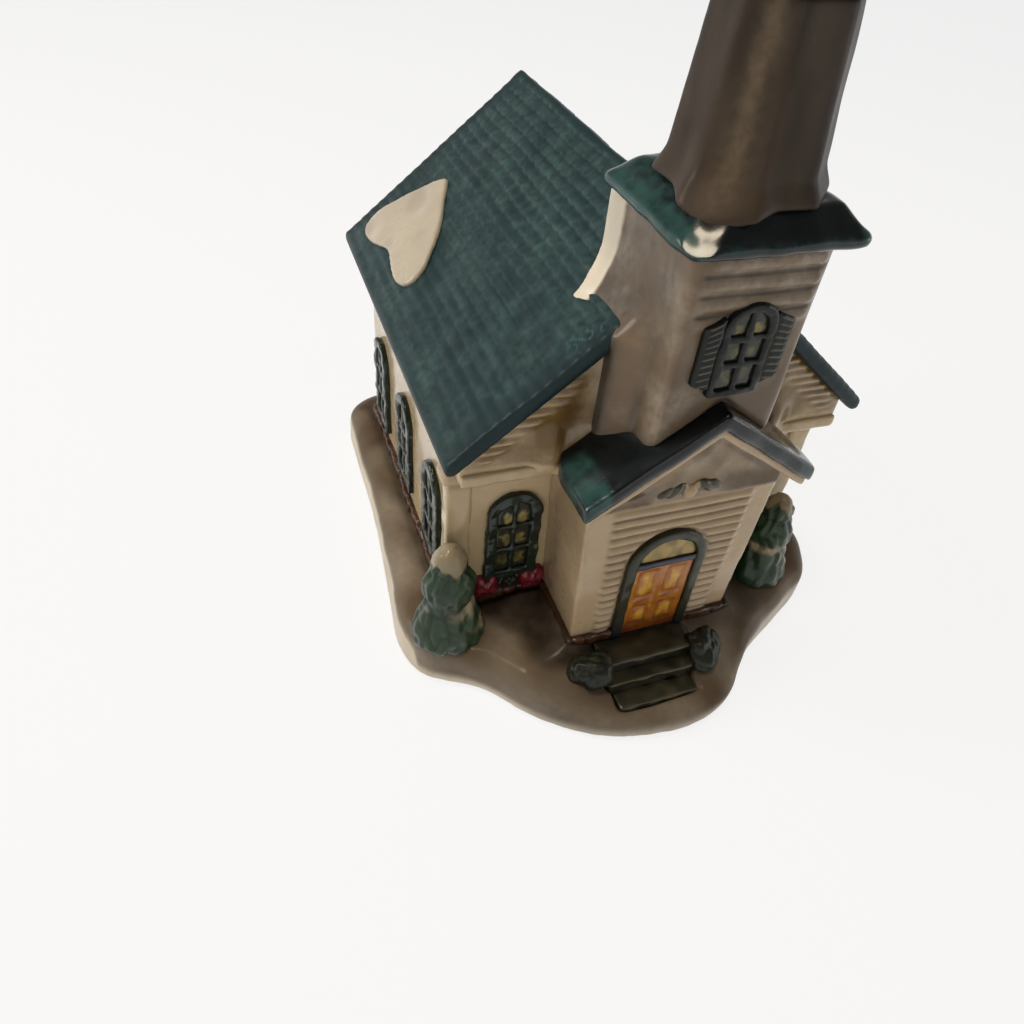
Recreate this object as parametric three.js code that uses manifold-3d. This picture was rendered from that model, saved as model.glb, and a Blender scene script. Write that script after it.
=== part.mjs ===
// Miniature Christmas church in glazed porcelain, built from its moulded shells and pressed-on ornaments.
// Millimetres. x runs to the right, y to the back and z up from the table.
import * as THREE from "three";
import { mergeVertices } from "three/addons/utils/BufferGeometryUtils.js";
import Module from "manifold-3d";

const wasm = await Module();
wasm.setup();

// Joints between the pieces
const seam = 0.3; // gap where a piece is cut to fit its neighbour
const wall = 3; // thickness of a cast wall
const relief = 1.2; // how far a window or door frame stands out of its wall

// Heights of the snow, the foundation and the walls
const snowTop = 10;
const foundationHeight = 2.5;
const wallFoot = snowTop + foundationHeight;
const wallHeight = 34; // up to where the gables stand out
const gableFoot = wallFoot + wallHeight;

// Nave
const naveHalf = 37;
const naveFront = -25;
const naveBack = 45;
const naveCorner = 7; // rounding of the back corners
const gableOverhang = 5;
const gableFront = naveFront - gableOverhang;
const gableBack = naveBack + gableOverhang;
const pilasterWidth = 3.8;
const pilasterProud = 0.8;
const capitalHeight = 3;
const friezeHeight = 2.4;
const foundationProud = 1;

// Nave roof
const roofHalf = naveHalf + 3;
const roofFront = gableFront - 2.4;
const roofBack = gableBack + 3.8;
const roofEave = gableFoot + 4.5; // underside of the eave
const roofEaveEdge = 2; // height of the fascia
const roofRise = 33.2;
const roofRidge = roofEave + roofEaveEdge + roofRise;
const roofThickness = 3.2; // measured straight down
const courses = 20; // rows of shingles on each slope
const courseStep = 0.35;

// Patch of snow on the left slope
const patchBack = 37.8; // y of its point
const patchLength = 22.6;
const patchWidth = 21.2;
const patchRise = 25.6; // up the slope from the eave to its point
const patchTop = Math.hypot(roofHalf, roofRise) - patchRise;
const patchThickness = 0.9;

// Porch
const porchHalfFoot = 16.8;
const porchHalfTop = 18.4;
const porchDepth = 16.1;
const porchFront = naveFront - porchDepth;
const porchRoofHalf = porchHalfTop + 2.9;
const porchRoofFront = porchFront - 4.4;
const porchEave = gableFoot + 2;
const porchEaveEdge = 2.6;
const porchRise = 15;
const porchRidge = porchEave + porchEaveEdge + porchRise;
const porchRoofThickness = 3;
const rakeHeight = 1.5; // moulding under the front edge of the porch roof
const rakeInset = 0.5;
const porchCourses = 1; // the porch roof is smooth

// Door
const doorX = -0.6;
const doorHalf = 7.9; // outside of the frame
const doorFrameWidth = 1.8;
const doorFoot = snowTop + 0.8;
const doorHeight = 19.6; // up to where the arch begins
const doorSpring = doorFoot + doorHeight;
const transomHeight = 1.4;

// Windows of the nave: the front ones fill the bay between the porch and the corner strips
const bayInner = porchHalfFoot;
const bayOuter = naveHalf - pilasterWidth;
const windowMargin = 2.9;
const bayHalf = (bayOuter - bayInner) / 2;
const windowHalf = bayHalf - windowMargin;
const windowFoot = wallFoot + 3.9;
const windowHeight = 22;
const windowTop = windowFoot + windowHeight;
const windowFrameWidth = 1.9;
const muntin = 0.8;
const frontWindowX = (bayOuter + bayInner) / 2 - 0.4;
const sideWindowY = [-14.5, 7.5, 29.5];
const bowWidth = windowHalf * 0.9;
const bowMargin = 0.9;
const bowReach = bayHalf - bowMargin - bowWidth / 2; // from the middle of the window to each bow
const bowHeight = windowFoot - 1.8;

// Tower
const towerX = 0;
const towerHalf = 10.6;
const towerProud = 1.2; // how far it stands out over the porch front
const towerFront = porchFront - towerProud;
const towerDepth = 23.8;
const towerBack = towerFront + towerDepth;
const towerCorner = 1.4;
const towerWindowHalf = 4.1;
const towerWindowHeight = 14.7;
const towerWindowFoot = porchRidge + 2.4;
const towerWindowTop = towerWindowFoot + towerWindowHeight;
const shutterWidth = 3;
const towerHead = 7.6; // wall above the window
const towerTop = towerWindowTop + towerHead;
const towerFlare = 4.2; // how far the foot spreads over the nave roof
const towerFlareGrowth = 0.11; // how much more it spreads for each millimetre further down
const towerFlareHeight = 12;
const towerFlareTop = roofRidge - 1.2;
const towerFlareFoot = towerFlareTop - towerFlareHeight;
const towerFlareFront = towerFront + 2.6; // y where the spread begins
const towerFlareFull = gableFront + 1; // y where it is widest
const towerFlareCorner = 2.4; // cut off its back corners
const corniceProud = 3.2;
const corniceHalf = towerHalf + corniceProud;
const corniceY = towerFront + towerHalf; // middle of the cornice and of everything above it
const corniceCorner = 2;
const corniceHeight = 1.8;
const corniceSlope = 3;

// Belfry and spire
const belfryHalf = 9.9; // middle to flat at the foot
const belfryHeight = 22;
const belfryTaper = 0.09; // how much each side leans in for each millimetre up
const belfryFlare = 1.2; // how far its foot spreads
const belfryFlareHeight = 3;
const belfryCapHeight = 2.4;
const belfryCapProud = 1.6;
const spireHeight = 28;
const finialRadius = 1.5;
const belfryFoot = towerTop + corniceHeight + corniceSlope;
const belfryTop = belfryFoot + belfryHeight;
const spireFoot = belfryTop + belfryCapHeight;
const spireTop = spireFoot + spireHeight;

// Steps: each lies in front of the one above and a riser below it
const stepsX = -2.6;
const stepFoot = 2;
const landingHalf = 9.6;
const landingDepth = 7.1;
const middleStepHalf = 9.4;
const middleStepDepth = 2.8;
const middleStepRiser = 2.8;
const lowestStepHalf = 8.4;
const lowestStepDepth = 3.8;
const lowestStepRiser = 2.6;
const stairs = [
  { name: "landing", half: landingHalf, depth: landingDepth, riser: 0 },
  { name: "middle_step", half: middleStepHalf, depth: middleStepDepth, riser: middleStepRiser },
  { name: "lowest_step", half: lowestStepHalf, depth: lowestStepDepth, riser: lowestStepRiser },
];

// Planting
const treeRadius = 7;
const treeHeight = 25.5;
const hedgeLength = 4.4;
const trees = [
  { name: "tree_left", x: -naveHalf - 1.6, y: naveFront - 5.8, scale: 1, depth: 0.88 },
  { name: "tree_right", x: naveHalf - 6.6, y: naveFront - 8, scale: 0.92, depth: 0.95 },
];
const hedges = [
  { name: "hedge_left", x: stepsX - landingHalf - 3, y: porchFront - 6.5, length: hedgeLength },
  { name: "hedge_right", x: stepsX + landingHalf + 2.5, y: porchFront - 7.4, length: hedgeLength * 0.89 },
];

// Snow base
const snowEdge = 3.5; // rounding of the rim
const snowFall = 22; // slope of the snow in front of the porch, degrees
const snowFallStart = porchFront - 2.4; // y where that slope begins
const lightOpeningX = naveHalf - 9; // half width of the opening through the base
const lightOpeningFront = naveFront + 5;
const lightOpeningBack = naveBack - 9;
const snowOutline = [
  [-43.5, 46], [-44.3, 36], [-44.6, 10], [-46.6, -15], [-47.3, -26], [-44.5, -33.5],
  [-34.3, -39.9], [-25.5, -49.8], [-14, -57.2], [2, -59.7], [12, -56.8], [21, -48.2],
  [34, -41], [43.5, -35], [47.3, -26], [46.6, -15], [44.6, 10], [44.3, 36],
  [43.5, 46], [37, 51], [18, 51.8], [-18, 51.8], [-37, 51],
];

// Glazes
const glazes = {
  snow: { color: "#e9e4da", roughness: 0.28 },
  cream: { color: "#dccfba", roughness: 0.25 },
  teal: { color: "#324d50", roughness: 0.3 },
  brown: { color: "#5a4030", roughness: 0.35 },
  green: { color: "#2c4a3a", roughness: 0.32 },
  foliage: { color: "#2e5238", roughness: 0.4 },
  amber: { color: "#c98a35", roughness: 0.3 },
  pane: { color: "#d8c46a", roughness: 0.25 },
  navy: { color: "#232c46", roughness: 0.3 },
  red: { color: "#a62a3a", roughness: 0.3 },
  slate: { color: "#4d4c40", roughness: 0.4 },
};

const root = new THREE.Group();

// Cutting blocks reach past every edge of the model
const beyond = spireTop * 2;

function solid(geometry) {
  const bare = geometry.clone();
  bare.deleteAttribute("normal");
  bare.deleteAttribute("uv");
  const merged = mergeVertices(bare, 1e-4);
  return new wasm.Manifold(new wasm.Mesh({
    numProp: 3,
    vertProperties: new Float32Array(merged.attributes.position.array),
    triVerts: new Uint32Array(merged.index.array),
  }));
}

function add(name, glaze, shape) {
  const mesh = shape.getMesh();
  const geometry = new THREE.BufferGeometry();
  geometry.setAttribute("position", new THREE.BufferAttribute(new Float32Array(mesh.vertProperties), 3));
  geometry.setIndex(new THREE.BufferAttribute(new Uint32Array(mesh.triVerts), 1));
  geometry.computeVertexNormals();
  const look = glazes[glaze];
  const { color, roughness } = look;
  const material = new THREE.MeshStandardMaterial({ color, roughness, metalness: 0 });
  const piece = new THREE.Mesh(geometry, material);
  piece.name = name;
  root.add(piece);
}

function points(pairs) {
  return pairs.map(([a, b]) => new THREE.Vector2(a, b));
}

function block(x0, x1, y0, y1, z0, z1) {
  const geometry = new THREE.BoxGeometry(x1 - x0, y1 - y0, z1 - z0);
  geometry.translate((x0 + x1) / 2, (y0 + y1) / 2, (z0 + z1) / 2);
  return solid(geometry);
}

// A flat plan in x and y, raised from z0 to z1
function raise(shape, z0, z1, options = {}) {
  const settings = { depth: z1 - z0, bevelEnabled: false, curveSegments: 8, ...options };
  const geometry = new THREE.ExtrudeGeometry(shape, settings);
  geometry.translate(0, 0, z0);
  return geometry;
}

// An elevation in x and z, pushed from y0 back to y1
function push(shape, y0, y1) {
  const geometry = raise(shape, 0, y1 - y0);
  geometry.rotateX(Math.PI / 2);
  geometry.translate(0, y1, 0);
  return geometry;
}

function roundedPlan(x0, x1, y0, y1, frontRadius, backRadius) {
  const plan = new THREE.Shape();
  plan.moveTo(x0 + frontRadius, y0);
  plan.lineTo(x1 - frontRadius, y0);
  plan.absarc(x1 - frontRadius, y0 + frontRadius, frontRadius, -Math.PI / 2, 0);
  plan.absarc(x1 - backRadius, y1 - backRadius, backRadius, 0, Math.PI / 2);
  plan.absarc(x0 + backRadius, y1 - backRadius, backRadius, Math.PI / 2, Math.PI);
  plan.absarc(x0 + frontRadius, y0 + frontRadius, frontRadius, Math.PI, Math.PI * 1.5);
  return plan;
}

// A round-headed opening or frame, drawn in x and z
function arch(x, half, foot, top) {
  const shape = new THREE.Shape();
  shape.moveTo(x - half, foot);
  shape.lineTo(x + half, foot);
  shape.absarc(x, top - half, half, 0, Math.PI);
  shape.lineTo(x - half, foot);
  return shape;
}

// Underside and upper surface of a gabled roof at a distance from its ridge line
function slopeOf(roof) {
  return (roof.ridge - roof.eave - roof.edge) / roof.half;
}

function roofTopAt(roof, x) {
  return roof.ridge - slopeOf(roof) * Math.abs(x);
}

function roofUnderAt(roof, x) {
  return roofTopAt(roof, x) - roof.thickness;
}

// Elevation of a gabled roof shell whose upper surface steps down in courses
function roofElevation(roof) {
  const right = [];
  for (let row = 1; row <= roof.courses; row += 1) {
    const x = roof.half * row / roof.courses;
    right.push([x, roofTopAt(roof, x)]);
    if (row < roof.courses) {
      right.push([x, roofTopAt(roof, x) - roof.step]);
    }
  }
  const underEave = (roof.ridge - roof.thickness - roof.eave) / slopeOf(roof);
  const left = right.map(([x, z]) => [-x, z]).reverse();
  const outline = [
    [0, roof.ridge], ...right, [roof.half, roof.eave], [underEave, roof.eave],
    [0, roof.ridge - roof.thickness], [-underEave, roof.eave], [-roof.half, roof.eave], ...left,
  ];
  return new THREE.Shape(points(outline.reverse()));
}

// Everything under a roof's upper surface, used to trim what stands on it
function underRoof(roof, y0, y1, lift) {
  const outline = [
    [-roof.half, 0], [roof.half, 0], [roof.half, roofTopAt(roof, roof.half) + lift],
    [0, roof.ridge + lift], [-roof.half, roofTopAt(roof, roof.half) + lift],
  ];
  return solid(push(new THREE.Shape(points(outline)), y0, y1));
}

const naveRoof = {
  half: roofHalf, eave: roofEave, edge: roofEaveEdge, ridge: roofRidge,
  thickness: roofThickness, courses, step: courseStep,
};
const porchRoof = {
  half: porchRoofHalf, eave: porchEave, edge: porchEaveEdge, ridge: porchRidge,
  thickness: porchRoofThickness, courses: porchCourses, step: courseStep,
};

// A body through level outlines that have the same number of points, closed at its foot and top
function stacked(levels) {
  const count = levels[0].outline.length;
  const places = levels.flatMap(({ z, outline }) => outline.flatMap(([x, y]) => [x, y, z]));
  const faces = [];
  const last = (levels.length - 1) * count;
  for (const [a, b, c] of THREE.ShapeUtils.triangulateShape(points(levels[0].outline), [])) {
    faces.push(c, b, a);
  }
  for (const [a, b, c] of THREE.ShapeUtils.triangulateShape(points(levels.at(-1).outline), [])) {
    faces.push(last + a, last + b, last + c);
  }
  for (let start = 0; start < last; start += count) {
    for (let i = 0; i < count; i += 1) {
      const [here, next] = [start + i, start + (i + 1) % count];
      faces.push(here, next, next + count, here, next + count, here + count);
    }
  }
  const geometry = new THREE.BufferGeometry();
  geometry.setAttribute("position", new THREE.BufferAttribute(new Float32Array(places), 3));
  geometry.setIndex(faces);
  return solid(geometry);
}

function octagon(halfBottom, halfTop, z0, z1) {
  const corner = 1 / Math.cos(Math.PI / 8);
  const geometry = new THREE.CylinderGeometry(halfTop * corner, halfBottom * corner, z1 - z0, 8);
  geometry.rotateX(Math.PI / 2);
  geometry.rotateZ(Math.PI / 8);
  geometry.translate(towerX, corniceY, (z0 + z1) / 2);
  return solid(geometry);
}

function gableElevation(halfFoot, halfTop, foot, roof) {
  return new THREE.Shape(points([
    [-halfFoot, foot], [halfFoot, foot], [halfTop, roofUnderAt(roof, halfTop)],
    [0, roofUnderAt(roof, 0)], [-halfTop, roofUnderAt(roof, halfTop)],
  ]));
}

function makeSteps() {
  let back = porchFront - foundationProud - seam;
  let front = porchFront;
  let top = doorFoot;
  for (const stair of stairs) {
    const [left, right] = [stepsX - stair.half, stepsX + stair.half];
    front -= stair.depth;
    top -= stair.riser;
    add(stair.name, "slate", block(left, right, front, back, stepFoot, top));
    back = front;
  }
}

function stepPocket() {
  let back = porchFront - foundationProud;
  let front = porchFront;
  let pocket = null;
  for (const stair of stairs) {
    const half = stair.half + seam;
    front -= stair.depth;
    const room = block(stepsX - half, stepsX + half, front - seam, back, stepFoot, beyond);
    pocket = pocket ? pocket.add(room) : room;
    back = front;
  }
  return pocket;
}

// The snow before steps, planting and opening are let into it
function snowBody() {
  const rim = snowOutline.map(([x, y]) => new THREE.Vector3(x, y, 0));
  const outline = new THREE.CatmullRomCurve3(rim, true, "centripetal");
  const shape = new THREE.Shape(outline.getPoints(76).slice(0, -1).map((p) => new THREE.Vector2(p.x, p.y)));
  const slab = solid(raise(shape, 0, snowTop - snowEdge, {
    bevelEnabled: true,
    bevelSize: snowEdge,
    bevelThickness: snowEdge,
    bevelOffset: -snowEdge,
    bevelSegments: 4,
  }));
  const below = block(-beyond, beyond, -beyond, beyond, -beyond, 0);
  const slope = new THREE.BoxGeometry(beyond * 2, beyond, beyond);
  slope.translate(0, -beyond / 2, beyond / 2);
  slope.rotateX(THREE.MathUtils.degToRad(snowFall));
  slope.translate(0, snowFallStart, snowTop);
  return slab.subtract(below).subtract(solid(slope));
}

function makeBase(snow) {
  const half = lightOpeningX;
  const opening = block(-half, half, lightOpeningFront, lightOpeningBack, -beyond, beyond);
  add("snow_base", "snow", snow.subtract(opening).subtract(stepPocket()));
}

function makeFoundation() {
  const out = foundationProud;
  const half = naveHalf + out;
  const nave = solid(raise(roundedPlan(-half, half, naveFront - out, naveBack + out, 1, naveCorner),
    snowTop, wallFoot));
  const porchHalf = porchHalfFoot + out;
  const porch = block(-porchHalf, porchHalf, porchFront - out, naveFront, snowTop, wallFoot);
  const naveInside = naveHalf - wall;
  const naveRoom = block(-naveInside, naveInside, naveFront + wall, naveBack - wall, 0, beyond);
  const porchInside = porchHalfFoot - wall;
  const porchRoom = block(-porchInside, porchInside, porchFront + wall, naveFront, 0, beyond);
  const doorRoom = doorHalf + seam;
  const doorway = block(doorX - doorRoom, doorX + doorRoom, -beyond, porchFront, 0, beyond);
  add("foundation", "brown", nave.add(porch).subtract(naveRoom).subtract(porchRoom).subtract(doorway));
}

// The gables and the eaves stand out over the walls, so the shell steps out at their foot
function makeNave() {
  const walls = solid(push(gableElevation(naveHalf, naveHalf, wallFoot, naveRoof), naveFront, naveBack));
  const outline = roundedPlan(-naveHalf, naveHalf, naveFront, naveBack, 0.6, naveCorner);
  const plan = solid(raise(outline, 0, roofRidge));
  const gable = gableElevation(naveHalf, naveHalf, gableFoot, naveRoof);
  const gables = solid(push(gable, gableFront, gableBack));
  const inside = naveHalf - wall;
  const room = block(-inside, inside, naveFront + wall, naveBack - wall, 0, roofRidge);
  const loft = block(-inside, inside, gableFront + wall, gableBack - wall, gableFoot + wall, roofRidge);
  add("nave_walls", "cream", walls.intersect(plan).add(gables).subtract(room).subtract(loft));
  add("nave_roof", "teal", solid(push(roofElevation(naveRoof), roofFront, roofBack)));
}

// A strip that wraps round a front corner, with a capital, and the moulding at the foot of the gable
function makeNaveTrim() {
  const capitalFoot = gableFoot - capitalHeight;
  for (const [side, name] of [[-1, "left"], [1, "right"]]) {
    const wrap = (proud, z0, z1) => {
      const outer = side * (naveHalf + proud);
      const inner = side * (naveHalf - pilasterWidth);
      const corner = block(-naveHalf, naveHalf, naveFront, naveFront + pilasterWidth * 2, z0 - 1, z1 + 1);
      return block(Math.min(outer, inner), Math.max(outer, inner),
        naveFront - proud, naveFront + pilasterWidth * 0.7, z0, z1).subtract(corner);
    };
    const shaft = wrap(pilasterProud, wallFoot, capitalFoot);
    const head = wrap(pilasterProud * 1.8, capitalFoot, gableFoot);
    add(`corner_pilaster_${name}`, "cream", shaft.add(head));
    const near = side * (porchRoofHalf + seam);
    const far = side * naveHalf;
    add(`frieze_${name}`, "cream", block(Math.min(near, far), Math.max(near, far),
      gableFront - pilasterProud, gableFront, gableFoot, gableFoot + friezeHeight));
  }
}

// The patch lies on the left slope: u runs along the roof from its blunt end to its point, and
// v across it, both from 0 to 1
function makeRoofSnow() {
  const heart = new THREE.Shape();
  heart.moveTo(1, 0);
  heart.bezierCurveTo(1.19, 0.15, 1.34, 0.45, 1.42, 0.67);
  heart.bezierCurveTo(1.5, 0.86, 1.43, 1, 1.27, 1);
  heart.bezierCurveTo(1.1, 1, 0.92, 0.89, 0.77, 0.86);
  heart.bezierCurveTo(0.57, 0.84, 0.39, 0.94, 0.21, 0.92);
  heart.bezierCurveTo(0.01, 0.9, 0, 0.74, 0.12, 0.59);
  heart.bezierCurveTo(0.35, 0.33, 0.65, 0.17, 1, 0);
  const geometry = raise(heart, 0, patchThickness, { curveSegments: 5 });
  geometry.translate(-1, 0, 0);
  geometry.scale(patchLength, patchWidth, 1);
  geometry.translate(patchBack, patchTop, 0);
  // u becomes y, v becomes minus x, and the patch is laid on the slope
  geometry.applyMatrix4(new THREE.Matrix4().makeBasis(
    new THREE.Vector3(0, 1, 0), new THREE.Vector3(-1, 0, 0), new THREE.Vector3(0, 0, 1)));
  geometry.rotateY(-Math.atan(slopeOf(naveRoof)));
  geometry.translate(0, 0, roofRidge);
  add("roof_snow_heart", "snow", solid(geometry));
}

// The moulding under the front edge of the porch roof, which leaves the gable behind it sunk
function porchRake() {
  const half = porchRoofHalf - 1;
  const [end, peak] = [roofUnderAt(porchRoof, half), roofUnderAt(porchRoof, 0)];
  const outline = points([
    [-half, end], [-half, end - rakeHeight], [0, peak - rakeHeight],
    [half, end - rakeHeight], [half, end], [0, peak],
  ]);
  return solid(push(new THREE.Shape(outline), porchRoofFront + rakeInset, porchFront + 1));
}

function makePorch() {
  const elevation = gableElevation(porchHalfFoot, porchHalfTop, wallFoot, porchRoof);
  const body = solid(push(elevation, porchFront, naveFront));
  const roomHalf = porchHalfFoot - wall;
  const room = block(-roomHalf, roomHalf, porchFront + wall, naveFront + 1, 0, porchRidge);
  const gableHalf = porchHalfTop + 1;
  const underGable = block(-gableHalf, gableHalf, gableFront, naveFront + 1, gableFoot, porchRidge);
  add("porch_walls", "cream", body.add(porchRake()).subtract(room).subtract(underGable));
  add("porch_roof", "teal", solid(push(roofElevation(porchRoof), porchRoofFront, gableFront)));
}

function makePediment() {
  const leafZ = porchEave - 0.4;
  const boss = new THREE.SphereGeometry(1.5, 10, 8);
  boss.scale(1, 0.6, 1);
  boss.translate(0, porchFront, leafZ - 0.8);
  let swag = solid(boss);
  for (const side of [-1, 1]) {
    const leaf = new THREE.SphereGeometry(1, 10, 8);
    leaf.scale(3, 0.8, 1.3);
    leaf.rotateY(side * 0.2);
    leaf.translate(side * 3.4, porchFront, leafZ);
    swag = swag.add(solid(leaf));
  }
  const behind = block(-beyond, beyond, porchFront, beyond, 0, beyond);
  add("pediment_swag", "cream", swag.subtract(behind));
}

function makeDoor() {
  const archTop = doorSpring + doorHalf;
  const inner = doorHalf - doorFrameWidth;
  const whole = solid(push(arch(doorX, doorHalf, doorFoot, archTop), porchFront - relief, porchFront));
  const opening = arch(doorX, inner, doorFoot - 1, archTop - doorFrameWidth);
  const hole = solid(push(opening, -beyond, porchFront + 1));
  add("door_frame", "green", whole.subtract(hole));
  const fit = inner - 0.1;
  const leafTop = doorSpring - transomHeight / 2;
  const [left, right] = [doorX - fit, doorX + fit];
  add("door_leaf", "amber", block(left, right, porchFront - 0.6, porchFront, doorFoot, leafTop));
  const barTop = leafTop + transomHeight;
  add("transom_bar", "navy", block(left, right, porchFront - 1, porchFront, leafTop, barTop));
  const light = solid(push(arch(doorX, fit, doorFoot, doorSpring + fit), porchFront - 0.5, porchFront));
  const belowLight = block(-beyond, beyond, -beyond, beyond, 0, barTop);
  add("fanlight", "pane", light.subtract(belowLight));
}

// A round-headed window facing the front at y = 0, with glazing bars in one piece with its frame
function windowFrame(half, foot, top, band, bars) {
  const whole = solid(push(arch(0, half, foot, top), -relief, 0));
  const hole = solid(push(arch(0, half - band, foot + band, top - band), -5, 1));
  let frame = whole.subtract(hole);
  const barBack = -0.5;
  const upright = block(-muntin / 2, muntin / 2, 0.1 - relief, barBack, foot + band / 2, top - band / 2);
  frame = frame.add(upright);
  for (const z of bars) {
    const reach = half - band / 2;
    frame = frame.add(block(-reach, reach, 0.1 - relief, barBack, z - muntin / 2, z + muntin / 2));
  }
  return frame;
}

function windowGlazing(half, foot, top, band) {
  const fit = band + 0.1;
  return solid(push(arch(0, half - fit, foot + fit, top - fit), -0.5, 0));
}

function makeWindow(name, x, y, turn) {
  const rows = 3;
  const clearFoot = windowFoot + windowFrameWidth;
  const clearHeight = windowTop - windowFrameWidth - clearFoot;
  const bars = [];
  for (let row = 1; row < rows; row += 1) {
    bars.push(clearFoot + clearHeight * row / rows);
  }
  const frame = windowFrame(windowHalf, windowFoot, windowTop, windowFrameWidth, bars);
  const glazing = windowGlazing(windowHalf, windowFoot, windowTop, windowFrameWidth);
  add(`${name}_frame`, "green", frame.rotate([0, 0, turn]).translate([x, y, 0]));
  add(`${name}_glazing`, "pane", glazing.rotate([0, 0, turn]).translate([x, y, 0]));
}

const inFrontWall = block(-beyond, beyond, naveFront, beyond, 0, beyond);

function bow(x, z) {
  const knot = new THREE.SphereGeometry(bowWidth * 0.21, 8, 6);
  knot.translate(x, naveFront - 0.3, z);
  let shape = solid(knot);
  for (const side of [-1, 1]) {
    const loop = new THREE.SphereGeometry(bowWidth * 0.29, 10, 6);
    loop.scale(1, 0.75, 1.2);
    loop.translate(x + side * bowWidth * 0.21, naveFront, z);
    shape = shape.add(solid(loop));
  }
  return shape.subtract(inFrontWall);
}

function garland(x) {
  const radius = windowHalf * 0.17;
  const sag = windowHalf * 0.23;
  const reach = bowReach - bowWidth / 2 - seam - radius * 0.6; // its ends lean by the sag
  const route = new THREE.QuadraticBezierCurve3(
    new THREE.Vector3(x - reach, naveFront, bowHeight),
    new THREE.Vector3(x, naveFront, bowHeight - sag),
    new THREE.Vector3(x + reach, naveFront, bowHeight),
  );
  const section = new THREE.Shape();
  section.absarc(0, 0, radius, 0, Math.PI * 2);
  const rope = new THREE.ExtrudeGeometry(section, { extrudePath: route, steps: 8, curveSegments: 4 });
  return solid(rope).subtract(inFrontWall);
}

function makeFrontWindows() {
  for (const [side, name] of [[-1, "left"], [1, "right"]]) {
    const x = side * frontWindowX;
    makeWindow(`front_window_${name}`, x, naveFront, 0);
    add(`garland_${name}`, "foliage", garland(x));
    add(`outer_bow_${name}`, "red", bow(x + side * bowReach, bowHeight));
    add(`inner_bow_${name}`, "red", bow(x - side * bowReach, bowHeight));
  }
}

function makeSideWindows() {
  sideWindowY.forEach((y, index) => {
    makeWindow(`left_window_${index + 1}`, -naveHalf, y, -90);
    makeWindow(`right_window_${index + 1}`, naveHalf, y, 90);
  });
}

function towerPlan(half, front, back, radius) {
  return roundedPlan(towerX - half, towerX + half, front, back, radius, radius);
}

// The foot of the tower spreads in a hollow curve over the gable and the nave roof
function towerFoot() {
  const bottom = porchEave;
  const levels = [bottom, towerFlareFoot - 8, towerFlareFoot, towerFlareFoot + towerFlareHeight * 0.3,
    towerFlareFoot + towerFlareHeight * 0.65, towerFlareTop].map((z) => {
    const down = (towerFlareTop - z) / towerFlareHeight;
    const more = Math.max(towerFlareFoot - z, 0) * towerFlareGrowth;
    const spread = towerFlare * Math.min(down, 1) ** 1.7 + more - 0.2;
    const right = [];
    for (let share = 0; share <= 1; share += 0.25) {
      right.push([
        towerHalf - 0.2 + (spread + 0.2) * share ** 1.8,
        THREE.MathUtils.lerp(towerFlareFront, towerFlareFull, share),
      ]);
    }
    const back = towerBack + spread * 0.6;
    const half = towerHalf + spread;
    right.push([half, back - towerFlareCorner], [half - towerFlareCorner, back]);
    const left = right.map(([x, y]) => [-x, y]).reverse();
    return { z, outline: [...right, ...left].map(([x, y]) => [towerX + x, y]) };
  });
  return stacked(levels);
}

function makeTower() {
  const outer = solid(raise(towerPlan(towerHalf, towerFront, towerBack, towerCorner), porchEave, towerTop));
  const inner = solid(raise(
    towerPlan(towerHalf - wall, towerFront + wall, towerBack - wall, 0.4), porchEave - 1, towerTop + 1));
  const porchTop = underRoof(porchRoof, porchRoofFront, gableFront, seam);
  const slab = underRoof(naveRoof, roofFront - seam, roofBack, seam)
    .subtract(underRoof(naveRoof, roofFront - 2, roofBack + 2, -roofThickness - seam));
  const nave = underRoof(naveRoof, gableFront - seam, naveBack, 0);
  const shell = outer.add(towerFoot()).subtract(inner).subtract(porchTop).subtract(slab).subtract(nave);
  add("tower_shell", "cream", shell);
  const front = corniceY - corniceHalf;
  const back = corniceY + corniceHalf;
  const top = towerTop + corniceHeight;
  const fascia = solid(raise(
    roundedPlan(-corniceHalf, corniceHalf, front, back, corniceCorner, corniceCorner), towerTop, top));
  const slope = new THREE.CylinderGeometry(
    belfryHalf * Math.SQRT2, (corniceHalf - corniceProud / 4) * Math.SQRT2, corniceSlope, 4);
  slope.rotateX(Math.PI / 2);
  slope.rotateZ(Math.PI / 4);
  slope.translate(towerX, corniceY, top + corniceSlope / 2);
  add("tower_cornice", "teal", fascia.add(solid(slope)));
}

function makeTowerWindow() {
  const clearFoot = towerWindowFoot + 1;
  const clearHeight = towerWindowTop - 1 - clearFoot;
  const bars = [clearFoot + clearHeight * 0.33, clearFoot + clearHeight * 0.66];
  const frame = windowFrame(towerWindowHalf, towerWindowFoot, towerWindowTop, 1, bars);
  const glazing = windowGlazing(towerWindowHalf, towerWindowFoot, towerWindowTop, 1);
  add("tower_window_frame", "green", frame.translate([towerX, towerFront, 0]));
  add("tower_window_glazing", "pane", glazing.translate([towerX, towerFront, 0]));
  const spring = towerWindowTop - towerWindowHalf;
  for (const [side, name] of [[-1, "left"], [1, "right"]]) {
    const near = side * (towerWindowHalf + 0.1);
    const far = side * (towerWindowHalf + shutterWidth);
    const outline = points([
      [near, towerWindowFoot + 1.4], [far, towerWindowFoot + 2.4],
      [far, spring + 2.2], [near, spring + 2.6]]);
    const shape = new THREE.Shape(side > 0 ? outline : outline.reverse());
    add(`tower_shutter_${name}`, "green", solid(push(shape, towerFront - 0.9, towerFront)));
  }
}

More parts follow.
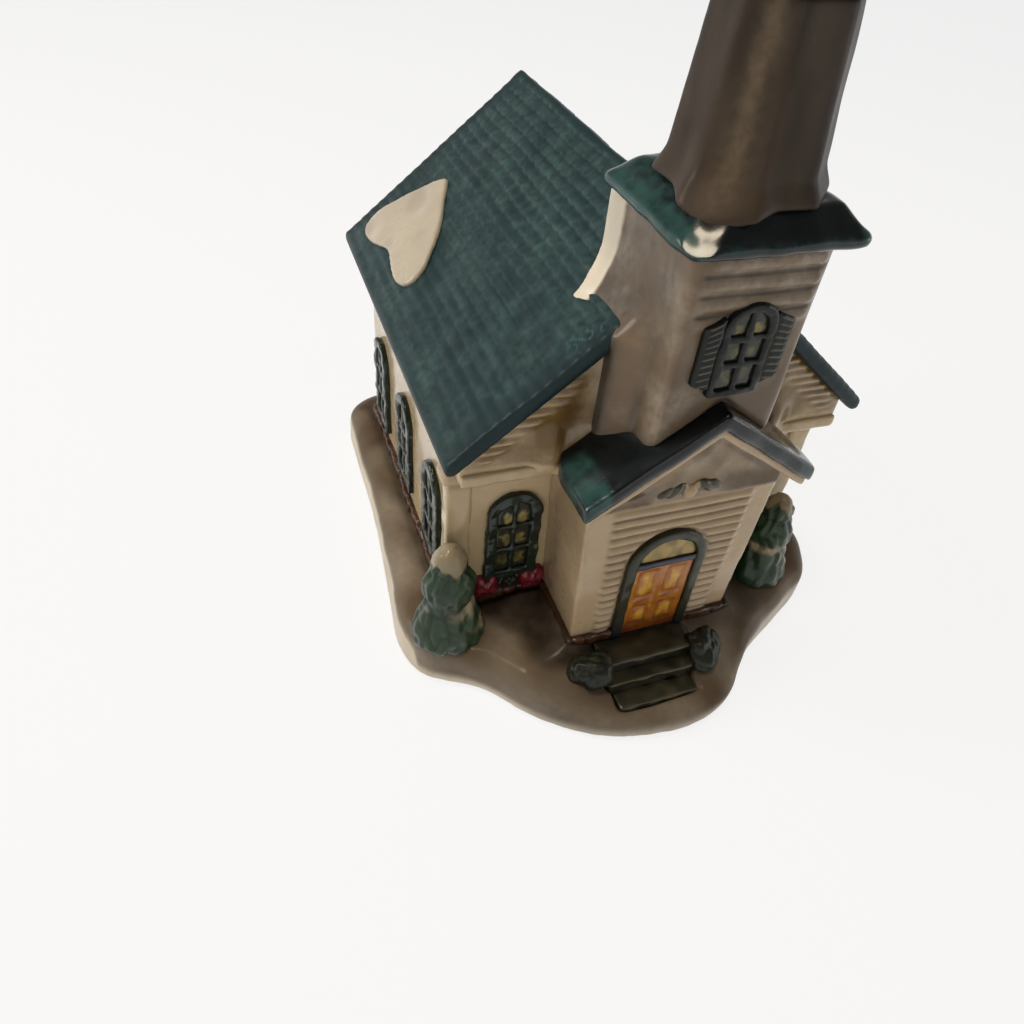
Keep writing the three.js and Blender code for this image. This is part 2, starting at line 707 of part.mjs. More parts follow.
function makeBelfry() {
  const halfTop = belfryHalf - belfryTaper * belfryHeight;
  const outer = octagon(belfryHalf, halfTop, belfryFoot, belfryTop);
  const thin = wall * 0.8;
  const inner = octagon(belfryHalf - thin, halfTop - thin, belfryFoot - 0.01, belfryTop + 0.01);
  const flareTopHalf = belfryHalf - belfryTaper * belfryFlareHeight;
  const flareTop = belfryFoot + belfryFlareHeight;
  const flare = octagon(belfryHalf + belfryFlare, flareTopHalf, belfryFoot, flareTop);
  add("belfry", "cream", outer.add(flare).subtract(inner));
  const capHalf = halfTop + belfryCapProud;
  add("belfry_cornice", "teal", octagon(capHalf - 0.5, capHalf, belfryTop, spireFoot));
  add("spire", "teal", octagon(halfTop + 0.4, finialRadius * 0.6, spireFoot, spireTop));
  const ball = new THREE.SphereGeometry(finialRadius, 12, 9);
  ball.translate(towerX, corniceY, spireTop + finialRadius * 0.8);
  const neck = octagon(finialRadius * 0.6, finialRadius * 0.5, spireTop, spireTop + finialRadius);
  const flat = block(-beyond, beyond, -beyond, beyond, 0, spireTop);
  add("spire_finial", "cream", solid(ball).add(neck).subtract(flat));
}

// A small fir of two tiers, each drawn in under the one above, with a round cap of snow
function treeForm(tree) {
  const foot = snowTop - 2;
  const height = treeHeight * tree.scale;
  const tiers = [[0.02, 0.5, 1], [0.5, 0.8, 0.7]];
  const profile = [[0, 0]];
  for (const [low, high, wide] of tiers) {
    profile.push([wide * 0.88, low], [wide, low + 0.07], [wide * 0.96, low + 0.16], [wide * 0.58, high]);
  }
  profile.push([0.47, 0.82], [0.44, 0.89], [0.3, 0.96], [0.14, 0.99], [0, 1]);
  const radius = treeRadius * tree.scale;
  const outline = profile.map(([r, h]) => new THREE.Vector2(r * radius, h * height));
  const geometry = new THREE.LatheGeometry(outline, 18);
  geometry.rotateX(Math.PI / 2);
  geometry.scale(1, tree.depth, 1);
  geometry.translate(tree.x, tree.y, foot);
  return solid(geometry);
}

function makePlanting(snow) {
  const raised = snow.translate([0, 0, seam]);
  const out = foundationProud + seam;
  const proud = bowWidth / 2 + seam;
  const footHalf = naveHalf + out;
  const wallHalf = naveHalf + proud;
  const building = block(-footHalf, footHalf, naveFront - out, 0, 0, wallFoot + seam)
    .add(block(-wallHalf, wallHalf, naveFront - proud, 0, wallFoot, gableFoot));
  for (const tree of trees) {
    add(tree.name, "foliage", treeForm(tree).subtract(raised).subtract(building));
  }
  const steps = stepPocket();
  const porch = block(-beyond, beyond, porchFront - out, beyond, 0, beyond);
  for (const hedge of hedges) {
    let bush = null;
    for (const [shift, size, back] of [[-0.55, 0.8, 0.6], [0.5, 0.85, 0.9], [0, 1, -0.5]]) {
      const lump = new THREE.SphereGeometry(hedge.length * size * 0.85, 10, 8);
      lump.scale(1, 0.85, 0.95);
      lump.translate(hedge.x + shift * hedge.length, hedge.y + back, snowTop - 0.6);
      bush = bush ? bush.add(solid(lump)) : solid(lump);
    }
    add(hedge.name, "foliage", bush.subtract(raised).subtract(steps).subtract(porch));
  }
}

const snow = snowBody();
makeBase(snow);
makeFoundation();
makeNave();
makeNaveTrim();
makeRoofSnow();
makePorch();
makePediment();
makeDoor();
makeFrontWindows();
makeSideWindows();
makeTower();
makeTowerWindow();
makeBelfry();
makeSteps();
makePlanting(snow);

// The frame's origin is the middle of the model's footprint on the table
const extent = new THREE.Box3().setFromObject(root);
root.position.set(-(extent.min.x + extent.max.x) / 2, -(extent.min.y + extent.max.y) / 2, 0);

export default root;
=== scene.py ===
import math

import bmesh
import bpy
import numpy as np
from mathutils import Matrix, Vector


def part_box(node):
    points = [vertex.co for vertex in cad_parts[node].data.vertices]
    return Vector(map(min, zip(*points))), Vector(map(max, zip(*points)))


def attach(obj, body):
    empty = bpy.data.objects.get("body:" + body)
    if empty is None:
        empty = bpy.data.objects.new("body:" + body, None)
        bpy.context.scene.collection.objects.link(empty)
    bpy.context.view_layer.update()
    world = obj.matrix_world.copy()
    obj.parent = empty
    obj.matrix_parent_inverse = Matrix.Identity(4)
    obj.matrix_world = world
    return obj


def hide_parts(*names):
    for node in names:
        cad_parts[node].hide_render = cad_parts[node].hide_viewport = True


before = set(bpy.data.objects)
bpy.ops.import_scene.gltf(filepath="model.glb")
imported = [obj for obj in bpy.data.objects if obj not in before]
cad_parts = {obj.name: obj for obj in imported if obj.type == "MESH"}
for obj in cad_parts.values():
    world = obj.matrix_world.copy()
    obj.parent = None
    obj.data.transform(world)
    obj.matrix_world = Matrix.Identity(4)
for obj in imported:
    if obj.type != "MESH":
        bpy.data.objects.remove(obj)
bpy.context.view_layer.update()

# Sizes are in millimetres and turned into metres with mm
mm = 0.001


def extent(node):
    """Lowest and highest corner of a CAD node, in millimetres."""
    low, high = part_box(node)
    return np.array(low) / mm, np.array(high) / mm


# Places taken from the frame
nave_low = extent("nave_walls")[0]
roof_low, roof_high = extent("nave_roof")
porch_low = extent("porch_walls")[0]
porch_roof_low, porch_roof_high = extent("porch_roof")
door_low, door_high = extent("door_frame")
leaf_low, leaf_high = extent("door_leaf")
tower_low, tower_high = extent("tower_shell")
cornice_low, cornice_high = extent("tower_cornice")
belfry_low, belfry_high = extent("belfry")
spire_low, spire_high = extent("spire")
foundation_low, foundation_high = extent("foundation")
pilaster_high = extent("corner_pilaster_left")[1]
step_low, step_high = extent("lowest_step")
frieze_high = extent("frieze_left")[1]
swag_low = extent("pediment_swag")[0]
tower_window_low, tower_window_high = extent("tower_window_frame")
porch_front = door_high[1]  # plane of the porch front, behind the door frame
tower_head = tower_high[2] - 0.6  # where its boards begin, just under the cornice
gable_front = frieze_high[1]
ground = foundation_low[2]

# Driving sizes of the finish
seam_cover = 0.17  # how far each cast surface is grown to meet its neighbour across the seam
nave_eave = 2.0  # height of each roof's eave edge
porch_eave = 2.6
shingle_rows = 22
shingle_width = 3.3
shingle_relief = 0.26
spire_row = 2.0
spire_tiles = 24  # in each row
board_pitch = 2.1
gable_board_pitch = 1.65
tower_board_pitch = 2.9
board_relief = 0.6
tower_half = 10.6  # half the width of the tower under its cornice
roof_round = 12.3  # radius of the hollow curve between the tower and the nave roof
roof_round_below = 3.2  # it starts that far under the ridge
roof_round_height = 9.6
gable_round = 8.0  # radius of the hollow curve between the tower and the front gable
gable_round_end = (69, 77)  # that curve dies out between these heights
tower_lip = 1.4  # how far the tower's back edges stand out
stone_length = 4.4
louvre_pitch = 1.15

# The photograph's camera
camera_place = Vector((-65.92, -117.09, 132.36))
camera_yaw = math.radians(-23.28)
camera_pitch = math.radians(-43.78)
camera_roll = math.radians(6.0)
camera_lens = 27.09
camera_film = 36


def added(name, data):
    """A new object in the scene."""
    obj = bpy.data.objects.new(name, data)
    bpy.context.scene.collection.objects.link(obj)
    return obj


def make_camera():
    data = bpy.data.cameras.new("camera")
    data.lens = camera_lens
    data.sensor_width = camera_film
    data.clip_start = 0.005
    data.clip_end = 20
    camera = added("camera", data)
    turn = Matrix.Rotation(camera_yaw, 4, "Z") @ Matrix.Rotation(math.pi / 2 + camera_pitch, 4, "X")
    turn = turn @ Matrix.Rotation(camera_roll, 4, "Z")
    camera.matrix_world = Matrix.Translation(camera_place * mm) @ turn
    bpy.context.scene.camera = camera


def linear(colour):
    """Linear red, green, blue and alpha of a colour written as #rrggbb."""
    parts = [int(colour[i:i + 2], 16) / 255 for i in (1, 3, 5)]
    return tuple(p / 12.92 if p <= 0.04045 else ((p + 0.055) / 1.055) ** 2.4 for p in parts) + (1.0,)


# Effects that the glazes share

def new_group(name, inputs, outputs):
    """A node group with its input and output nodes."""
    group = bpy.data.node_groups.new(name, "ShaderNodeTree")
    for label, kind, value in inputs:
        socket = group.interface.new_socket(label, in_out="INPUT", socket_type="NodeSocket" + kind)
        if value is not None:
            socket.default_value = value
    for label, kind in outputs:
        group.interface.new_socket(label, in_out="OUTPUT", socket_type="NodeSocket" + kind)
    start = group.nodes.new("NodeGroupInput")
    end = group.nodes.new("NodeGroupOutput")
    return group, start, end


def plug(tree, socket, value):
    """Links a socket to a node's output, or writes a plain value on it."""
    if isinstance(value, bpy.types.NodeSocket):
        tree.links.new(value, socket)
    else:
        socket.default_value = value


def fill(tree, node, **values):
    """Plugs a node's inputs, each called by its label with _ for a space."""
    for label, value in values.items():
        plug(tree, node.inputs[label.replace("_", " ")], value)


def new_node(tree, kind, **values):
    node = tree.nodes.new("ShaderNode" + kind)
    fill(tree, node, **values)
    return node


def emptied(owner, output_kind):
    """The emptied node tree of a material or world, and its output."""
    owner.use_nodes = True
    tree = owner.node_tree
    tree.nodes.clear()
    return tree, new_node(tree, output_kind)


def mix_colours(tree, factor, first, second):
    node = new_node(tree, "Mix")
    node.data_type = "RGBA"
    # Its colours come after the sockets for numbers and vectors
    for number, value in ((0, factor), (6, first), (7, second)):
        plug(tree, node.inputs[number], value)
    return node.outputs[2]


def noise_value(tree, size, detail=2.0):
    """Soft noise whose blobs are about size millimetres across."""
    place = new_node(tree, "TexCoord").outputs["Object"]
    node = new_node(tree, "TexNoise", Vector=place, Scale=1 / (size * mm), Detail=detail)
    return node.outputs["Fac"]


def stretch(tree, value, low, high, out_low=0.0, out_high=1.0):
    """Turns a value that runs from low to high into one from out_low to out_high."""
    node = new_node(tree, "MapRange", Value=value, From_Min=low, From_Max=high, To_Min=out_low,
                    To_Max=out_high)
    return node.outputs["Result"]


def calculate(tree, operation, *values):
    node = new_node(tree, "Math")
    node.operation = operation
    for socket, value in zip(node.inputs, values):
        plug(tree, socket, value)
    return node.outputs[0]


def make_mottle_group():
    """Uneven glaze: broad clouds and small specks that drift from the colour to a second one."""
    group, start, end = new_group("glaze_mottle", [
        ("Colour", "Color", None),
        ("Cloud Colour", "Color", None),
        ("Cloud Amount", "Float", 0.5),
        ("Speck Amount", "Float", 0.2),
    ], [("Colour", "Color"), ("Clouds", "Float")])
    clouds = stretch(group, noise_value(group, size=9, detail=3.0), 0.34, 0.66)
    specks = stretch(group, noise_value(group, size=1.1), 0.35, 0.7)
    cloud_share = calculate(group, "MULTIPLY", clouds, start.outputs["Cloud Amount"])
    speck_share = calculate(group, "MULTIPLY", specks, start.outputs["Speck Amount"])
    share = calculate(group, "ADD", cloud_share, speck_share)
    colour = mix_colours(group, share, start.outputs["Colour"], start.outputs["Cloud Colour"])
    fill(group, end, Colour=colour, Clouds=clouds)
    return group


def make_brushed_group():
    """A second colour brushed where a mask marks it, with ragged thin edges."""
    group, start, end = new_group("brushed_on", [
        ("Colour", "Color", None),
        ("Paint", "Color", None),
        ("Mask", "Float", 0.0),
        ("Raggedness", "Float", 0.5),
    ], [("Colour", "Color")])
    ragged = calculate(group, "SUBTRACT", noise_value(group, size=1.6, detail=3.0), 0.5)
    ragged = calculate(group, "MULTIPLY", ragged, start.outputs["Raggedness"])
    # Ragged only where the mask is neither empty nor full
    between = calculate(group, "SUBTRACT", 1.0, start.outputs["Mask"])
    between = calculate(group, "MULTIPLY", between, start.outputs["Mask"])
    between = calculate(group, "MULTIPLY", between, 8.0)
    share = calculate(group, "MULTIPLY_ADD", ragged, between, start.outputs["Mask"])
    share.node.use_clamp = True
    colour = mix_colours(group, share, start.outputs["Colour"], start.outputs["Paint"])
    fill(group, end, Colour=colour)
    return group


def make_pool_group():
    """Painted shade and dark joints: a darker colour laid where the hollow mask is high, in patches."""
    group, start, end = new_group("stain_in_hollows", [
        ("Colour", "Color", None),
        ("Stain", "Color", None),
        ("Hollow", "Float", 0.0),
        ("Amount", "Float", 0.7),
    ], [("Colour", "Color")])
    patchy = stretch(group, noise_value(group, size=3.5, detail=3.0), 0.3, 0.65, out_low=0.75)
    share = calculate(group, "MULTIPLY", start.outputs["Hollow"], start.outputs["Amount"])
    share = calculate(group, "MULTIPLY", share, patchy)
    colour = mix_colours(group, share, start.outputs["Colour"], start.outputs["Stain"])
    fill(group, end, Colour=colour)
    return group


def make_ripple_group():
    """Height of the slight waves and pinholes in a fired glaze."""
    group, start, end = new_group("glaze_ripple", [
        ("Wave Height", "Float", 0.6),
        ("Grain Height", "Float", 0.2),
    ], [("Height", "Float")])
    broad = noise_value(group, size=5, detail=1.0)
    fine = noise_value(group, size=0.7)
    swell = calculate(group, "MULTIPLY", broad, start.outputs["Wave Height"])
    grain = calculate(group, "MULTIPLY", fine, start.outputs["Grain Height"])
    fill(group, end, Height=calculate(group, "ADD", swell, grain))
    return group


mottle = make_mottle_group()
brushed_on = make_brushed_group()
stain_in_hollows = make_pool_group()
ripple = make_ripple_group()


def place_group(tree, group, **values):
    node = new_node(tree, "Group")
    node.node_tree = group
    fill(tree, node, **values)
    return node


def painted_mask(tree, label):
    """A mask that was written on the mesh with its relief."""
    node = new_node(tree, "Attribute")
    node.attribute_name = label
    return node.outputs["Fac"]


def make_glaze(name, colour, cloud, stain, paint, clouds=0.45, specks=0.15, hollow=0.8, rough=0.3,
               coat=0.7, ragged=0.5):
    """Painted porcelain under a clear glaze.

    colour drifts to cloud, paint covers what the mesh's paint mask marks, and painted shade and dark
    joints gather where its hollow mask is high. rough is the colour layer's roughness, which rises
    with the clouds.
    """
    material = bpy.data.materials.new(name)
    tree, output = emptied(material, "OutputMaterial")
    drifting = place_group(
        tree, mottle, Colour=linear(colour), Cloud_Colour=linear(cloud), Cloud_Amount=clouds,
        Speck_Amount=specks)
    painted = place_group(
        tree, brushed_on, Colour=drifting.outputs["Colour"], Paint=linear(paint),
        Mask=painted_mask(tree, "paint"), Raggedness=ragged)
    stained = place_group(
        tree, stain_in_hollows, Colour=painted.outputs["Colour"], Stain=linear(stain),
        Hollow=painted_mask(tree, "hollow"), Amount=hollow)
    roughness = stretch(tree, drifting.outputs["Clouds"], 0, 1, rough - 0.04, rough + 0.1)
    height = place_group(tree, ripple).outputs["Height"]
    bump = new_node(tree, "Bump", Strength=0.35, Distance=0.25 * mm, Height=height)
    shader = new_node(
        tree, "BsdfPrincipled", Base_Color=stained.outputs["Colour"], Roughness=roughness,
        Specular_IOR_Level=0.2, Coat_Weight=coat, Coat_Roughness=0.12, Coat_IOR=1.38,
        Normal=bump.outputs["Normal"])
    fill(tree, output, Surface=shader.outputs["BSDF"])
    return material


snow_glaze = make_glaze(
    "snow_glaze", "#d9d0bf", "#c6bba8", "#1c0f05", "#625342", rough=0.5, hollow=1.0, coat=0.12,
    ragged=0.12)
roof_snow_glaze = make_glaze("roof_snow_glaze", "#c8beac", "#b6aa98", "#8d8170", "#b8ab98")
cream_glaze = make_glaze(
    "cream_glaze", "#ccb792", "#b9a280", "#4c3219", "#7d6134", rough=0.26, hollow=0.95)
porch_glaze = make_glaze(
    "porch_glaze", "#cab391", "#b29a79", "#54402a", "#7a6334", rough=0.26, hollow=0.9)
# The tower's taupe paint and the belfry's dark taupe are partly painted shade, darker the higher they stand
tower_glaze = make_glaze(
    "tower_glaze", "#ebe2d0", "#ddd2bd", "#0e1415", "#7f6c58", hollow=1.0, rough=0.34, coat=0.35)
belfry_glaze = make_glaze(
    "belfry_glaze", "#45392d", "#382e24", "#1f1710", "#7d6c57", rough=0.5, coat=0.08)
leaf_glaze = make_glaze("leaf_glaze", "#4a4630", "#3b3826", "#221e12", "#b39c78", ragged=0.3)
roof_glaze = make_glaze(
    "roof_glaze", "#1d363a", "#182c2f", "#0c1c20", "#476261", clouds=0.6, specks=0.2, rough=0.5,
    coat=0.12, ragged=0.7)
# Near-black: the roof's teal darkened as a painted dark reflection; its paint brings teal back in patches,
# also painted reflection
dark_reflection_roof_glaze = make_glaze(
    "dark_reflection_roof_glaze", "#0d1214", "#121b1c", "#060a0b", "#2c4c4a", clouds=0.6, specks=0.3,
    rough=0.26, coat=0.6, ragged=0.9)
brown_glaze = make_glaze("brown_glaze", "#412b1c", "#54321f", "#150d07", "#5f4230", rough=0.35)
frame_glaze = make_glaze(
    "frame_glaze", "#33331f", "#282a1e", "#10120c", "#171c2a", rough=0.36, coat=0.4)
wreath_glaze = make_glaze(
    "wreath_glaze", "#232f24", "#1a251d", "#0b110c", "#6d7766", clouds=0.6, specks=0.4, rough=0.33)
shutter_glaze = make_glaze(
    "shutter_glaze", "#151a15", "#0f1513", "#080b0a", "#6d6a58", rough=0.4, coat=0.25, ragged=0.3)
foliage_glaze = make_glaze(
    "foliage_glaze", "#223d27", "#33452f", "#0f1b10", "#a19377", clouds=0.7, specks=0.5,
    rough=0.38, coat=0.4)
hedge_glaze = make_glaze(
    "hedge_glaze", "#181c12", "#20251a", "#0b0e08", "#3c3f2b", clouds=0.7, specks=0.5,
    rough=0.45, coat=0.3)
amber_glaze = make_glaze(
    "amber_glaze", "#bd7a2a", "#a3561f", "#4f1d10", "#dcaa40", clouds=0.7, specks=0.4, rough=0.3,
    ragged=1.6)
fanlight_glaze = make_glaze("fanlight_glaze", "#b79d52", "#94783a", "#4a3a1a", "#cdb568")
pane_glaze = make_glaze(
    "pane_glaze", "#2a2d21", "#353527", "#12140d", "#b8a662", clouds=0.6, specks=0.3, rough=0.24,
    ragged=0.9)
navy_glaze = make_glaze("navy_glaze", "#151b33", "#0f1424", "#080a13", "#2c3650", rough=0.25)
red_glaze = make_glaze(
    "red_glaze", "#8a2632", "#6d1b27", "#340c12", "#a8434c", clouds=0.6, specks=0.35, rough=0.3)
slate_glaze = make_glaze("slate_glaze", "#2c2b20", "#23221a", "#100f0a", "#4e4b38", rough=0.33)


# Cast pieces

def finished(obj, glaze, node):
    """Gives a piece its glaze and body, and lets it stand for its CAD node."""
    obj.data.materials.clear()
    obj.data.materials.append(glaze)
    obj.data.shade_smooth()
    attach(obj, "root")
    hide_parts(node)


def joined(mesh, *more):
    """One mesh of several closed ones, for the remesher to melt together."""
    shape = bmesh.new()
    for part in (mesh, *more):
        shape.from_mesh(part)
    shape.to_mesh(mesh)
    shape.free()
    return mesh


def softened(name, mesh, voxel, rounds):
    """Fine mesh of a solid with its edges rounded as by slip casting, voxel in millimetres."""
    rough = added(name + "_rough", mesh)
    remesh = rough.modifiers.new("fine", "REMESH")
    remesh.mode = "VOXEL"
    remesh.voxel_size = voxel * mm
    swell = rough.modifiers.new("grow", "DISPLACE")
    swell.mid_level = 0
    swell.strength = seam_cover * mm
    smooth = rough.modifiers.new("soft", "SMOOTH")
    smooth.factor = 0.5
    smooth.iterations = rounds
    result = bpy.data.meshes.new_from_object(rough.evaluated_get(bpy.context.evaluated_depsgraph_get()))
    bpy.data.objects.remove(rough)
    return added(name, result)


def read_vectors(rows, label):
    vectors = np.empty(len(rows) * 3, np.float32)
    rows.foreach_get(label, vectors)
    return vectors.reshape(-1, 3).astype(float)


def write_mask(mesh, label, values):
    mask = mesh.attributes.new(label, "FLOAT", "POINT")
    mask.data.foreach_set("value", np.full(len(mesh.vertices), np.clip(values, 0, 1), np.float32))


def step_up(value, low, high):
    """0 below low, 1 above high and a smooth rise between."""
    t = np.clip((value - low) / (high - low), 0, 1)
    return t * t * (3 - 2 * t)


def band(value, low, high, soft):
    """1 between low and high, with soft ends."""
    return step_up(value, low - soft, low + soft) * (1 - step_up(value, high - soft, high + soft))


def hump(value, middle, width):
    """1 at the middle and a smooth fall to 0 on both sides."""
    return np.exp(-((value - middle) / width) ** 2)


def fraction(value):
    """How far each value is past the whole number below it."""
    return value - np.floor(value)


wave_count = 14


def waves(places, size, seed):
    """Smooth noise between about -1 and 1, from plane waves about size millimetres long."""
    rng = np.random.default_rng(seed)
    total = np.zeros(len(places))
    for _ in range(wave_count):
        direction = rng.normal(size=3)
        direction /= np.linalg.norm(direction)
        length = size * rng.uniform(0.7, 1.6)
        total += np.cos(places @ direction * 2 * math.pi / length + rng.uniform(0, 2 * math.pi))
    return total / math.sqrt(wave_count) * 0.8


def cast(node, glaze, relief, voxel, rounds, more=(), **settings):
    """Casts a CAD node anew with soft edges, melted together with any more meshes.

    relief takes places, normals and its settings, and gives each point's move, as a vector or as a
    distance outwards, how much painted shade and dark joint colour it takes, and how much it is
    painted over. voxel and rounds say how fine the mesh gets and how soft its edges.
    """
    mesh = joined(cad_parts[node].data.copy(), *more)
    piece = softened(node + "_cast", mesh, voxel, rounds)
    places = read_vectors(piece.data.vertices, "co") / mm
    facing = read_vectors(piece.data.vertex_normals, "vector")
    out, hollow, paint = relief(places, facing, **settings)
    move = out if out.ndim == 2 else facing * out[:, None]
    piece.data.vertices.foreach_set("co", ((places + move) * mm).astype(np.float32).ravel())
    piece.data.update()
    write_mask(piece.data, "hollow", hollow)
    write_mask(piece.data, "paint", paint)
    finished(piece, glaze, node)


def uneven(places, facing, size, height, seed, stain):
    """Relief of a plain cast surface: slight unevenness, with painted shade in its dips."""
    bumps = waves(places, size, seed)
    return height * bumps, stain * step_up(-bumps, -0.2, 1.2), 0


# Roofs

def roof_fall(low, high, edge):
    """Slope of a roof whose eave edge is that high."""
    return (high[2] - low[2] - edge) / ((high[0] - low[0]) / 2)


nave_fall = roof_fall(roof_low, roof_high, nave_eave)
porch_fall = roof_fall(porch_roof_low, porch_roof_high, porch_eave)


def pseudo_random(values):
    """A value between 0 and 1 for each whole number."""
    return np.abs(np.sin(values * 12.9898 + 4.1) * 43758.5453) % 1.0


def nave_roof_relief(places, facing):
    """Courses of shingles with painted shade under their edges, and a second, paler glaze in clouds,
    near the eave and on their raised edges as painted highlight.
    """
    x, y, _ = places.T
    middle = (roof_low[0] + roof_high[0]) / 2
    length = (roof_high[0] - middle) * math.hypot(1, nave_fall)
    pitch = length / shingle_rows
    down = np.abs(x - middle) * math.hypot(1, nave_fall) + 0.3 * waves(places, 26, 7)
    row = np.floor(down / pitch)
    part = down / pitch - row
    # Rows on the right slope get other shingles than those on the left
    side = np.where(x < middle, 0, 500)
    in_row = y / shingle_width + 0.5 * (row % 2) + 0.3 * pseudo_random(row + side)
    tile = np.floor(in_row)
    tile_part = in_row - tile
    lift = pseudo_random(tile * 7 + (row + side) * 31)
    joint = 1 - step_up(np.minimum(tile_part, 1 - tile_part), 0.02, 0.2)
    # Each shingle's lower edge is a little round
    round_edge = part + 0.5 * (tile_part - 0.5) ** 2
    lap = round_edge - step_up(round_edge, 0.74, 1.0)
    upward = step_up(facing[:, 2], 0.55, 0.7)
    edge = np.minimum(y - roof_low[1], roof_high[1] - y)
    inside = step_up(edge, 2.4, 5.5) * step_up(length - down, 0.6, 2.5) * step_up(down, 0.6, 1.8)
    # The relief is crisp near the ridge and worn soft towards the eave
    crisp = 1.1 - 0.75 * step_up(down / length, 0.2, 0.75) + 0.2 * waves(places, 20, 3)
    height = shingle_relief * (lap + 0.3 * (lift - 0.5) - 0.1 * joint)
    out = height * upward * inside * crisp + 0.12 * waves(places, 16, 5) * upward
    groove = np.clip(joint * 0.08 + band(round_edge, 0.84, 1.02, 0.1) * 0.7, 0, 1) * inside * upward
    rolled = (1 - step_up(edge, 0.8, 2.8)) * upward
    # Painted shade under each shingle's lower edge, on the undersides and along the rolled edges, with
    # faint dark joints
    hollow = groove * crisp * 0.85 + (1 - upward) * 0.7 + 0.7 * rolled
    cloud = 0.12 * waves(places, 9, 9) + 0.06 * waves(places, 3, 8)
    # Painted highlight on the raised lower edges of the shingles, over paler clouds
    lit = inside * upward * (0.3 * lap * crisp + 0.12 * lift + 0.06 + cloud)
    greener = step_up(down, length - 6, length) * 0.15
    paint = np.maximum(lit + greener, painted_glint_by_tower(places) * upward)
    return out, hollow, paint


def painted_glint_by_tower(places):
    """Pale curls of glaze painted on the roof beside the foot of the tower as a painted highlight."""
    x, y, _ = places.T
    near = hump(np.abs(x), 17.5, 2.6) * hump(y, roof_low[1] + 3.6, 2.4)
    curls = np.abs(waves(places, 1.6, 41))
    return near * step_up(0.35 - curls, 0, 0.25)


def porch_roof_relief(places, facing):
    """Painted dark reflection with teal at both eaves and a painted grey sheen on the right slope,
    and round back corners where the gable swells over them.
    """
    x, y, _ = places.T
    corner_round = 5.0
    across = np.abs(x) - (porch_roof_high[0] - corner_round)
    behind = y - (porch_roof_high[1] - corner_round)
    distance = np.hypot(across, behind)
    in_corner = (across > 0) & (behind > 0) & (distance > corner_round)
    pull = np.where(in_corner, corner_round / np.maximum(distance, corner_round), 1.0)
    move = np.zeros_like(places)
    move[:, 0] = np.where(in_corner, np.sign(x) * across * (pull - 1), 0)
    move[:, 1] = np.where(in_corner, behind * (pull - 1), 0)
    move += facing * (0.14 * waves(places, 9, 51))[:, None]
    # Teal shows at both eaves and grey on the right; the rest is darkened as painted reflection
    teal = band(np.abs(x), 17.3, 40, 0.7) * (1 - step_up(y, gable_front - 5.5, gable_front - 3))
    teal = teal * (0.7 + 0.25 * waves(places, 4, 52))
    grey = step_up(x, 2, 9) * 0.12
    return move, 0.4 * (1 - teal - grey), np.maximum(teal, grey)


def make_roofs():
    cast("nave_roof", roof_glaze, nave_roof_relief, voxel=0.36, rounds=22)
    cast("porch_roof", dark_reflection_roof_glaze, porch_roof_relief, voxel=0.35, rounds=18)
    cast("roof_snow_heart", roof_snow_glaze, uneven, voxel=0.25, rounds=8, size=7, height=0.12, seed=53,
         stain=0.35)


# Walls

def boarding(z, top, pitch):
    """Clapboards counted down from top: how far the board stands out, and the shade under it."""
    part = fraction((top - z) / pitch)
    out = np.sin(math.pi * np.clip(part / 0.82, 0, 1)) ** 0.7 * (0.45 + 0.55 * part)
    shade = band(part, 0.9, 1.0, 0.1) + (1 - step_up(part, 0.0, 0.14))
    return out, np.clip(shade, 0, 1)


def in_porch_corner(x, y):
    """1 on both sides of the porch, in its corner with the front of the nave."""
    return band(np.abs(x), 17, 33, 2.0) * band(y, -42, gable_front + 3, 2.0)


def tower_foot_on_gable(across, z):
    """How far the hollow curve at the tower's foot stands before the gable, at that distance across."""
    narrowed = 1 - step_up(z, *gable_round_end)
    part = np.clip((across - tower_half) / np.maximum(narrowed, 0.05), 0, gable_round)
    return gable_round - np.sqrt(gable_round ** 2 - (gable_round - part) ** 2)


